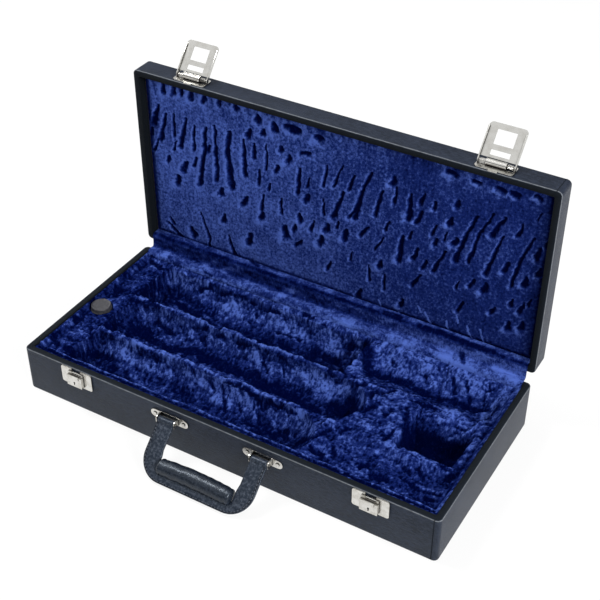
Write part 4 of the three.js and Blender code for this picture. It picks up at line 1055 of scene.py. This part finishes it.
# Velvet strip over the hinge line: its profile's points, as offsets from the edges that they go round,
# are carried along the case
hingeStrip = {
    "half": 222.0,
    "step": 1.3,
    "thick": 0.8,
    "trayInner": [(-2.6, -4.0), (-1.6, -0.6), (0.6, 1.6), (3.6, 1.9)],
    "trayOuter": [(-0.5, 1.1)],
    "gap": [(-2.4, 1.3), (-1.3, 3.4)],
    "lidOuter": [(-1.1, 1.0)],
    "lidInner": [(-1.1, -0.6), (-0.2, 0.9), (3.5, 1.5), (9.6, 1.3)],
    "rows": 44,
    "smoothings": 3,
    "lump": 1.1,
    "flatLump": 0.35,
    "tuft": 0.15,
    "calm": 4.0,
    "onTray": (9.0, 15.0),
    "valleyShade": (12.0, 16.0, 24.0, 30.0),
    "crease": (9.5, 2.4),
    "lightToRight": (-60.0, 180.0),
    # painted shade in creases
    "dark": [
        [3, (462, 354), (463, 362)], [2, (404, 353), (410, 356)], [2, (433, 362), (436, 366)],
        [1.6, (392, 360), (395, 367)], [2.4, (385, 313), (400, 318)], [1.3, (152, 256), (160, 262)],
        [1.3, (175, 274), (178, 282)], [1, (205, 272), (212, 276)], [2, (252, 262), (258, 266)],
        [2.6, (420, 326), (446, 334), (470, 344), (494, 352)],
    ],
    # painted highlights
    "bright": [
        [3, (224, 271), (231, 269)], [4, (281, 295), (292, 290)], [6, (396, 345), (412, 348)],
        [6, (440, 354), (475, 368)], [4, (330, 318), (352, 325)], [1.3, (392, 333), (395, 350)],
        [3.6, (160, 256), (168, 252)], [3, (205, 264), (216, 262)], [4, (495, 368), (518, 378)],
    ],
    "noise": {"puffs": (9.0, 7.0, 141), "tufts": (3.5, 3.5, 151, 2), "patches": (18.0, 9.0, 161, 4, 0.6),
              "small": (5.0, 5.0, 163)},
    # plain tone; painted light on the tray rim's roll and to the right, painted shade in crease lines, the
    # valley and the crease
    "plain": 0.55,
    "shade": {"patches": 0.2, "onTray": 0.12, "lines": -0.16, "small": 0.16, "valleyShade": -0.3, "crease": -0.5,
              "litValley": 0.34, "lightToRight": 0.08, "dark": -0.5, "bright": 0.25},
}


# The strip's middle line in the case's cross section, at even steps and smoothed, and its length
def stripProfile(shape):
    thickness = wall["thickness"]
    edges = {
        "trayInner": (halfDepth - thickness, trayHeight), "trayOuter": (halfDepth, trayHeight),
        "gap": (rimPlane, trayHeight), "lidOuter": (rimPlane, lidFoot),
        "lidInner": (rimPlane, lidFoot + thickness),
    }
    corners = np.concatenate([np.add(shape[key], edge) for key, edge in edges.items()])
    lengths = pathLengths(corners)
    places = np.linspace(0, lengths[-1], shape["rows"])
    profile = pathPoints(corners, lengths, places)
    for _ in range(shape["smoothings"]):
        profile[1:-1] = (profile[:-2] + 2 * profile[1:-1] + profile[2:]) / 4
    return profile, places


# Both faces of the strip, half its thickness to each side of the profile, with puffs on the outer one
def makeHingeStrip(shape):
    noise = shape["noise"]
    profile, places = stripProfile(shape)
    length = places[-1]
    tangent = np.gradient(profile, axis=0)
    normal = np.stack([-tangent[:, 1], tangent[:, 0]], -1) / np.hypot(*tangent.T)[:, None]
    along = np.linspace(-shape["half"], shape["half"], int(2 * shape["half"] / shape["step"]) + 1)
    s, x = np.meshgrid(places, along, indexing="ij")
    puffs, lines = crumple(x, s, *noise["puffs"])
    calm = ease(0.0, shape["calm"], s) * ease(0.0, shape["calm"], length - s)
    onTray = 1 - ease(*shape["onTray"], s)              # the roll on the tray's rim is lumpier
    bulge = puffs * shape["lump"] * (shape["flatLump"] + (1 - shape["flatLump"]) * onTray) * calm
    bulge = bulge + roughNoise(x, s, *noise["tufts"]) * shape["tuft"]
    reach = np.stack([bulge + shape["thick"] / 2, np.full_like(bulge, -shape["thick"] / 2)])
    y, z = profile[:, :1] + 0 * x, profile[:, 1:] + 0 * x
    outer, under = [np.stack([x, y + normal[:, :1] * side, z + normal[:, 1:] * side], -1) for side in reach]
    ring = np.concatenate([outer, under[::-1]])
    count, columns = ring.shape[:2]
    index = np.arange(count * columns).reshape(count, columns)
    wrap = np.stack([index[-1, :-1], index[-1, 1:], index[0, 1:], index[0, :-1]], -1).tolist()
    faces = gridFaces(count, columns) + wrap + [index[::-1, 0].tolist(), index[:, -1].tolist()]
    piece = makePiece("velvet_strip", ring.reshape(-1, 3), faces, velvet, slabSharp, True)
    lightToRight = ease(*shape["lightToRight"], x)                  # painted light, rising towards the right, where the valley is bright too
    low, start, end, high = shape["valleyShade"]
    valleyShade = ease(low, start, s) * (1 - ease(end, high, s))
    crease, creaseWidth = shape["crease"]
    u, v = photoPixels(x, y, z)
    layers = {
        "patches": roughNoise(x, s, *noise["patches"]), "small": roughNoise(x, s, *noise["small"]),
        "onTray": onTray, "lines": lines * onTray, "valleyShade": valleyShade, "litValley": valleyShade * lightToRight,
        "crease": bell(s - length + crease, creaseWidth), "lightToRight": lightToRight,
        "dark": underStrokes(u, v, shape["dark"]), "bright": underStrokes(u, v, shape["bright"]),
    }
    toneAndShade = shape["plain"] + weighted(layers, shape["shade"])
    setVertexShade(piece, np.concatenate([toneAndShade, toneAndShade[::-1]]).reshape(-1))
    length * mm
    dress(piece, "velvet", None, "hinge_strip")
    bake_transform(piece)


makeHingeStrip(hingeStrip)
print("hinge strip ready")


# Leatherette covers: out over the wall, round the rim with a soft edge, down the inside, and back as a skin.
# The rings with a painted highlight or painted shade, and the seam's columns, are counted along and round
# that way
coverLook = {
    "rimRound": 1.1,
    "foldShare": 0.7,
    "innerCorner": 1.2,
    "sharpest": 0.05,
    "seamAndShade": 5.4,
    "seamGap": 0.3,
    "lap": 0.3,
    "lapSteps": ((-1.2, 0), (-0.25, 0), (0.0, 1), (0.28, 1)),
    "lapInset": 0.5,
    "sharp": 35,
    "highlightRings": [9, 10],
    "seamColumns": [28, 29],
    "darkRings": {12: 0.85, 13: 1.0, 14: 1.0, 15: 1.0, 16: 1.0, 17: 1.0, 18: 1.0},
}


# Rings of a rounded rectangle round the case, from each ring's inset, corner radius and height.
# On the front wall the cover's flap lies over from the seam to the right corner
def caseRings(rings, look, cornerPoints=9):
    signs = np.array([(1, 1), (-1, 1), (-1, -1), (1, -1)])[:, None]
    turns = (np.arange(4)[:, None] + np.linspace(0, 1, cornerPoints)) * math.pi / 2
    arcs = np.stack([np.cos(turns), np.sin(turns)], -1)
    result = []
    for inset, radius, height in rings:
        radius = max(radius, look["sharpest"])
        centre = np.array([halfLength - inset - radius, halfDepth - inset - radius])
        corners = signs * centre + radius * arcs
        place = min(halfLength - look["seamAndShade"], centre[0] - look["seamGap"])
        lap = look["lap"] if inset < look["lapInset"] else 0.0
        flap = [(place + step, inset - halfDepth - lap * over) for step, over in look["lapSteps"]]
        points = np.concatenate([corners[:3].reshape(-1, 2), flap, corners[3]])
        result.append(np.column_stack([points, np.full(len(points), height)]))
    return np.array(result)


# Steps of a quarter turn, each as one less its sine and one less its cosine
def quarterTurn(count):
    turns = np.linspace(0, 1, count) * math.pi / 2
    return list(zip(1 - np.sin(turns), 1 - np.cos(turns)))


def makeCover(name, node, body, depth, place, look):
    edge, cover, inner, corner = (wall[key] for key in ("edge", "cover", "thickness", "corner"))
    rim, small = look["rimRound"], look["innerCorner"]
    fold, bend = rim * look["foldShare"], edge - cover
    rings = [(edge * s, corner - edge * s, edge * c) for s, c in quarterTurn(7)]
    rings.append((0.0, corner, depth / 2))
    rings += [(rim * c, corner - rim * c, depth - rim * s) for s, c in quarterTurn(5)]
    rings += [(inner - fold * s, small + rim * s, depth - fold * c) for s, c in quarterTurn(4)]
    rings += [(inner, small, depth - wall["wrap"]), (inner - cover, small + cover, depth - wall["wrap"]),
              (inner - cover, small + cover, depth - cover), (cover, corner - cover, depth - cover)]
    corner = corner - cover
    rings += [(cover + bend * s, corner - bend * s, cover + bend * c) for s, c in quarterTurn(4)[::-1]]
    points = np.stack(place(*np.moveaxis(caseRings(rings, look), -1, 0)), -1)
    piece = tubePiece(name, points, leatherette, look["sharp"])
    pale, dark = np.zeros(points.shape[:2]), np.zeros(points.shape[:2])
    pale[look["highlightRings"]] = 1.0                        # painted highlight on the outer fold of the rim
    setVertexShade(piece, pale.reshape(-1), "edge")
    dark[:, look["seamColumns"]] = 1.0                   # the lap's shadow
    for ring, shade in look["darkRings"].items():
        dark[ring] = shade                               # painted shade on the rim's inner fold and down the inside wall
    setVertexShade(piece, dark.reshape(-1), "seamAndShade")
    return dress(piece, "leatherette", body, node)


# The lid is the same ring stack, stood on its back: its height runs from the back plane to the rim plane
def lidPlace(x, y, z):
    return x, lidBack - z, (lidFoot + lidHead) / 2 - y


makeCover("leatherette_tray", "tray_cover", "tray", trayHeight, lambda x, y, z: (x, y, z), coverLook)
makeCover("leatherette_lid", "lid_cover", "lid", lidBack - rimPlane, lidPlace, coverLook)
print("covers ready")


# Strap handle, drawn straight out from its pivots and let down by its droop
handleShape = {
    "pivotY": -109.5,
    "pivotZ": 40.2,
    "droop": 42.0,
    "place": 52.0,
    "legWidth": 18.0,
    "thickness": 4.0,
    "reach": 56.0,
    "outerRadius": 25.0,
    "innerRadius": 4.0,
    "bridge": 46.0,
    "throatGap": 0.6,
    "throat": (-5.0, 1.0),
    "bridgeEnd": 2.0,
    "sharp": 50,
    "strap": {"points": 28, "sideRound": 0.3, "faceRound": 0.55, "face": 1.0, "swell": 0.05, "swellTurn": 0.9,
              "dip": 0.35, "seamPlace": 0.8, "dipWidth": 0.09, "seamWidth": 0.12, "seamShade": 0.75},
    # the loops round the pivot bars end in shares of the half width and of the radius
    "loops": {"radius": 3.4, "points": 28, "ends": [(0.85, 1.0), (0.94, 0.97), (0.99, 0.86), (1.0, 0.72)]},
    "stitches": {"gap": 3.4, "length": 2.1, "inset": 1.9, "ends": 5.0, "sink": 0.16, "flat": 0.8, "points": 6,
                 "shares": (0.0, 0.25, 0.75, 1.0), "radii": (0.15, 0.42, 0.42, 0.15)},
    "roll": {
        "start": 31.0,
        "radius": 9.0,
        "half": 41.2,
        "points": 48,
        "middle": (0.91, 46),
        "ends": (0.94, 0.965, 0.985, 0.997, 1.0),
        "slim": 0.07,
        "endStart": 0.9,
        "endShare": 0.97,
        "endRound": 3.2,
        "crease": 0.35,
        "creaseNoise": (6.0, 4.0, 171),
        "creaseTurns": 3.0,
        "pull": (0.5, 5.5, 1.1),
        "bow": 1.2,
        "bowMiddle": 0.4,
        "press": 0.98,
    },
}


# From the handle's own frame to the case: out from the pivot, turned down by the droop
def fromHandle(x, out, above, shape=handleShape):
    turn = math.radians(shape["droop"])
    y = shape["pivotY"] - out * math.cos(turn) - above * math.sin(turn)
    z = shape["pivotZ"] - out * math.sin(turn) + above * math.cos(turn)
    return np.stack([x + 0 * out, y + 0 * x, z + 0 * x], -1)


# The angles of a round section's points
def roundSection(count):
    return np.linspace(0, 2 * np.pi, count, endpoint=False)


# Points along a path of corners and curves, at even steps
def evenly(points, count):
    points = np.asarray(points, float)
    lengths = pathLengths(points)
    return pathPoints(points, lengths, np.linspace(0, lengths[-1], count))


# A quarter circle round a centre, from its right side to its far side
def quarterArc(centreX, centreOut, radius, count=16):
    turns = np.radians(np.linspace(0, 90, count))
    return list(zip(centreX + radius * np.cos(turns), centreOut + radius * np.sin(turns)))


# The strap's two edges, from the left pivot round to the right one, point for point
def strapEdges(shape):
    outer, inner = (shape["place"] + side * shape["legWidth"] / 2 for side in (1, -1))
    bend, small = shape["outerRadius"], shape["innerRadius"]
    reach, bridge = shape["reach"], shape["bridge"]
    roll = shape["roll"]
    throat = roll["half"] + shape["throatGap"]
    throatLow, throatHigh = (roll["start"] + step for step in shape["throat"])
    bridgeEnd = outer - bend - shape["bridgeEnd"]
    outside = [
        evenly([(outer, 0), (outer, reach - bend)], 14),
        evenly(quarterArc(outer - bend, reach - bend, bend), 26)[1:],
        evenly([(outer - bend, reach), (0, reach)], 12)[1:],
    ]
    inside = [
        evenly([(inner, 0), (inner, throatLow)], 14),
        evenly([(inner, throatLow), (throat, throatHigh), (throat, bridge - small)]
               + quarterArc(throat - small, bridge - small, small, 8) + [(bridgeEnd, bridge)], 26)[1:],
        evenly([(bridgeEnd, bridge), (0, bridge)], 12)[1:],
    ]
    right = [np.concatenate(runs) for runs in (outside, inside)]
    return [np.concatenate([side * (-1, 1), side[-2::-1]]) for side in right]


# The strap: a section with flattened faces and rounded sides, swept between the two edges. The stitched line
# draws the faces in a little
def makeStrap(shape):
    section = shape["strap"]
    around = roundSection(section["points"])
    across = np.sign(np.cos(around)) * np.abs(np.cos(around)) ** section["sideRound"]
    above = np.sign(np.sin(around)) * np.abs(np.sin(around)) ** section["faceRound"] * shape["thickness"] / 2
    onFace = np.abs(above) > section["face"]
    dip = section["dip"] * bell(np.abs(across) - section["seamPlace"], section["dipWidth"])
    dip = dip * np.sign(above) * onFace
    rings = []
    for place, (outer, inner) in enumerate(zip(*strapEdges(shape))):
        middle, half = (outer + inner) / 2, (outer - inner) / 2
        swell = 1 + section["swell"] * math.sin(place * section["swellTurn"])
        x, out = (middle[k] + half[k] * across for k in (0, 1))
        rings.append(fromHandle(x, out, above * swell - dip))
    strap = tubePiece("leather_strap", rings, leather, shape["sharp"])
    line = bell(across - section["seamPlace"], section["seamWidth"]) * onFace
    setVertexShade(strap, np.tile(line * section["seamShade"], len(rings)), "seamAndShade")
    dress(strap, "leather", "handle", "handle_strap")


# The loops at the strap's ends, round the pivot bars: shares of the half width and of the radius
def makeLoops(shape):
    loop = shape["loops"]
    around = roundSection(loop["points"])
    stations = [(-share, size) for share, size in loop["ends"][::-1]] + loop["ends"]
    for name, side in (("left", -1), ("right", 1)):
        middle = side * shape["place"]
        rings = [fromHandle(middle + share * shape["legWidth"] / 2 + 0 * around,
                            loop["radius"] * size * np.cos(around), loop["radius"] * size * np.sin(around))
                 for share, size in stations]
        dress(tubePiece("leather_loop_" + name, rings, leather, shape["sharp"]), "leather", "handle")


# Stitches: short rounded bars set into both faces along the strap's outer edge
def makeStitches(shape):
    stitch = shape["stitches"]
    outer, inner = strapEdges(shape)
    line = outer + (inner - outer) / np.hypot(*(inner - outer).T)[:, None] * stitch["inset"]
    lengths = pathLengths(line)
    around = roundSection(stitch["points"])
    shares = np.array(stitch["shares"]) * stitch["length"]
    count, rows = len(around), len(shares)
    bar = np.array(gridFaces(rows, count, True))
    vertices, faces = [], []
    for face in (-1, 1):
        for start in np.arange(stitch["ends"], lengths[-1] - stitch["ends"], stitch["gap"]):
            places = pathPoints(line, lengths, start + shares)
            along = places[-1] - places[0]
            sideways = np.array([-along[1], along[0]]) / np.hypot(*along)
            base = len(vertices) * count
            for place, radius in zip(places, stitch["radii"]):
                flat = place + np.outer(np.cos(around) * radius, sideways)
                above = shape["thickness"] / 2 - stitch["sink"] + np.sin(around) * radius * stitch["flat"]
                vertices.append(fromHandle(flat[:, 0], flat[:, 1], face * above))
            faces += (bar + base).tolist()
            faces += [list(range(base + count - 1, base - 1, -1)),
                      list(range(base + (rows - 1) * count, base + rows * count))]
    piece = makePiece("handle_stitches", np.concatenate(vertices), faces, thread, slabSharp, True)
    dress(piece, "leather", "handle")


# The padded roll: round, bowed a little, gathered at its ends, with a few soft creases
def makeRoll(handle):
    shape = handle["roll"]
    around = roundSection(shape["points"])
    ends = np.array(shape["ends"])
    reach, count = shape["middle"]
    pull, pullPlace, pullWidth = shape["pull"]
    rings = []
    for share in np.concatenate([-ends[::-1], np.linspace(-reach, reach, count), ends]):
        end = max(0.0, (abs(share) - shape["endStart"]) / (1 - shape["endStart"]))
        x = share * shape["half"]
        slim = 1 - shape["slim"] + shape["slim"] * math.cos(share * math.pi / 2)
        radius = shape["radius"] * slim * math.sqrt(1 - (shape["endShare"] * end) ** shape["endRound"])
        creases = softNoise(np.full_like(around, x), around * shape["creaseTurns"], *shape["creaseNoise"])
        size = radius + shape["crease"] * creases * (1 - end)
        size = size - pull * bell(abs(x) - shape["half"] + pullPlace, pullWidth)
        bow = shape["bow"] * (share * share - shape["bowMiddle"])
        out = shape["start"] + shape["radius"] + bow + size * np.cos(around) * shape["press"]
        rings.append(fromHandle(x + 0 * around, out, size * np.sin(around)))
    roll = tubePiece("leather_roll", rings, rollLeather, handle["sharp"])
    dress(roll, "leather", "handle", "handle_grip")


for makePart in (makeStrap, makeLoops, makeStitches, makeRoll):
    makePart(handleShape)
print("handle ready")


# CAD pieces that keep their shape: merged, cleared of flat-face edges and given soft edges
softening = {"merge": 2e-6, "flat": 1.5, "sharp": 32, "segments": 2}


def softenNode(node, width, materials, slotName, body, values=softening):
    mesh = frame["nodes"][node].data.copy()
    mesh.materials.clear()
    for material in materials:
        mesh.materials.append(material)
    work = bmesh.new()
    work.from_mesh(mesh)
    bmesh.ops.remove_doubles(work, verts=work.verts, dist=values["merge"])
    flat = math.radians(values["flat"])
    bmesh.ops.dissolve_limit(work, angle_limit=flat, verts=work.verts, edges=work.edges)
    work.to_mesh(mesh)
    work.free()
    piece = addPiece(node + "_finished", mesh, values["sharp"])
    if width:
        bevel = piece.modifiers.new("soft_edges", "BEVEL")
        bevel.width = width * mm
        bevel.segments = values["segments"]
        bevel.limit_method = "ANGLE"
        bevel.angle_limit = math.radians(values["sharp"])
        bevel.harden_normals = True
        # the bevel faces take the last material: for metal, the one with painted dark edges
        bevel.material = len(materials) - 1
    return dress(piece, slotName, body, node)


bodyOf = {node: body for body, nodes in frame["record"]["behaviour"]["bodies"].items() for node in nodes}
slotOf = {entry["node"]: entry["material_slot"] for entry in frame["record"]["subparts"]}
# The width of each metal piece's soft edges, by the start of its node's name
softEdges = {
    "lock_plate": 0.4, "lock_slide": 0.5, "lock_tumbler": 0.15, "hasp_plate": 0.4, "hasp_left": 0.45,
    "hasp_right": 0.45, "hasp_pin": 0.1, "handle_plate": 0.35, "handle_pin": 0.15, "handle_rivet": 0.35,
    "hinge_tray": 0.2, "hinge_lid": 0.2,
}
potEdge = 0.2
# hasps take the shaded copy of the nickel, tumblers the near black painted keyhole shade
metalFaces = {"hasp_left": nickelShaded, "hasp_right": nickelShaded, "lock_tumbler_left": nickelKeyholeShade,
              "lock_tumbler_right": nickelKeyholeShade}

for node in sorted(frame["nodes"]):
    if slotOf[node] == "board":
        frame["nodes"][node].data.materials.clear()
        frame["nodes"][node].data.materials.append(boardWood)
    elif node.startswith("lock_spring"):
        # on the real case its foot stays with the tray and its head goes down with the keyhole block; here it
        # rides no body
        spring = softenNode(node, 0.0, [nickel], "nickel", None)
        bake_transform(spring)
    elif slotOf[node] == "nickel":
        width = next((size for prefix, size in softEdges.items() if node.startswith(prefix)), 0.0)
        softenNode(node, width, [metalFaces.get(node, nickel), nickelEdgeShade], "nickel", bodyOf[node])
    elif slotOf[node] == "pot_plastic":
        softenNode(node, potEdge, [potPlastic], "pot_plastic", bodyOf[node])
print("hardware ready")


# Studio: a pale floor, a white world to the camera, and soft lamps, the strongest on the right
studio = {
    "floorHalf": 6.0,
    "floorFinish": {"Roughness": 0.9, "Base_Color": (0.93, 0.93, 0.93, 1.0)},
    "floorGlow": 0.86,
    "glowRise": (0.7, 1.8),
    "worldLight": 0.4,
    "horizonDark": 0.12,
    "horizon": (0.2, 0.6),
    "aim": (0, 0, 0.1),
    "lamps": {
        "right": {"place": (2.0, -0.7, 1.2), "size": 1.2, "energy": 62.0},
        "left": {"place": (-2.1, 0.3, 1.1), "size": 1.4, "energy": 24.0},
        "top": {"place": (-1.0, -0.15, 2.1), "size": 0.55, "energy": 26.0},
    },
}
white = (1.0, 1.0, 1.0, 1.0)


# The floor: white by itself to the camera and in mirrors, with a share of real shading for the shadow,
# and all white further off: the share of glow rises with the distance from the case
def floorFinish(values):
    finish = Finish("floor", Specular_IOR_Level=0.0, **values["floorFinish"])
    glow = finish.node("Emission", None, {"Color": white, "Strength": 1.0})
    camera, glossy, clear = finish.plainRays()
    surface = Wire(finish.tree, finish.shader.outputs[0])
    here = finish.node("TexCoord", out="Object")
    distance = finish.node("VectorMath", {"operation": "LENGTH"}, {0: here}, "Value")
    away = finish.spread(distance, *values["glowRise"])
    share = (camera + glossy + clear) * (away * (1 - values["floorGlow"]) + values["floorGlow"])
    mixed = finish.node("MixShader", None, {0: share, 1: surface, 2: glow})
    finish.tree.links.new(mixed.socket, finish.tree.nodes["Material Output"].inputs["Surface"])
    return finish.material


def makeFloor(values):
    half = values["floorHalf"]
    mesh = bpy.data.meshes.new("floor")
    corners = [(-half, -half, 0), (half, -half, 0), (half, half, 0), (-half, half, 0)]
    mesh.from_pydata(corners, [], [(0, 1, 2, 3)])
    mesh.materials.append(floorFinish(values))
    addObject("floor", mesh)


# The world: white to the camera, and dimmer light on the case. Polished metal sees a darker band at the
# horizon, as of a studio's walls
def makeWorld(values):
    world = bpy.data.worlds.new("studio")
    bpy.context.scene.world = world
    world.use_nodes = True
    tree = Tree(world.node_tree)
    camera, glossy, clear = tree.plainRays()
    ray = tree.node("TexCoord", out="Generated")
    height = tree.node("SeparateXYZ", None, {"Vector": ray}, "Z")
    walls = tree.spread(height, *values["horizon"]) * (1.0 - values["horizonDark"]) + values["horizonDark"]
    strength = (1.0 - camera - glossy - clear) * values["worldLight"] + camera + clear + glossy * walls
    shade = world.node_tree.nodes["Background"]
    world.node_tree.links.new(strength.socket, shade.inputs["Strength"])
    shade.inputs["Color"].default_value = white


def makeLamps(values):
    for name, lampValues in values["lamps"].items():
        data = bpy.data.lights.new(name, "AREA")
        data.energy = lampValues["energy"]
        data.size = lampValues["size"]
        lamp = addObject(name, data)
        lamp.location = lampValues["place"]
        lamp.rotation_euler = (Vector(values["aim"]) - lamp.location).to_track_quat("-Z", "Y").to_euler()


makeFloor(studio)
makeWorld(studio)
makeLamps(studio)
bpy.context.scene.view_settings.view_transform = "Standard"
print("studio ready")
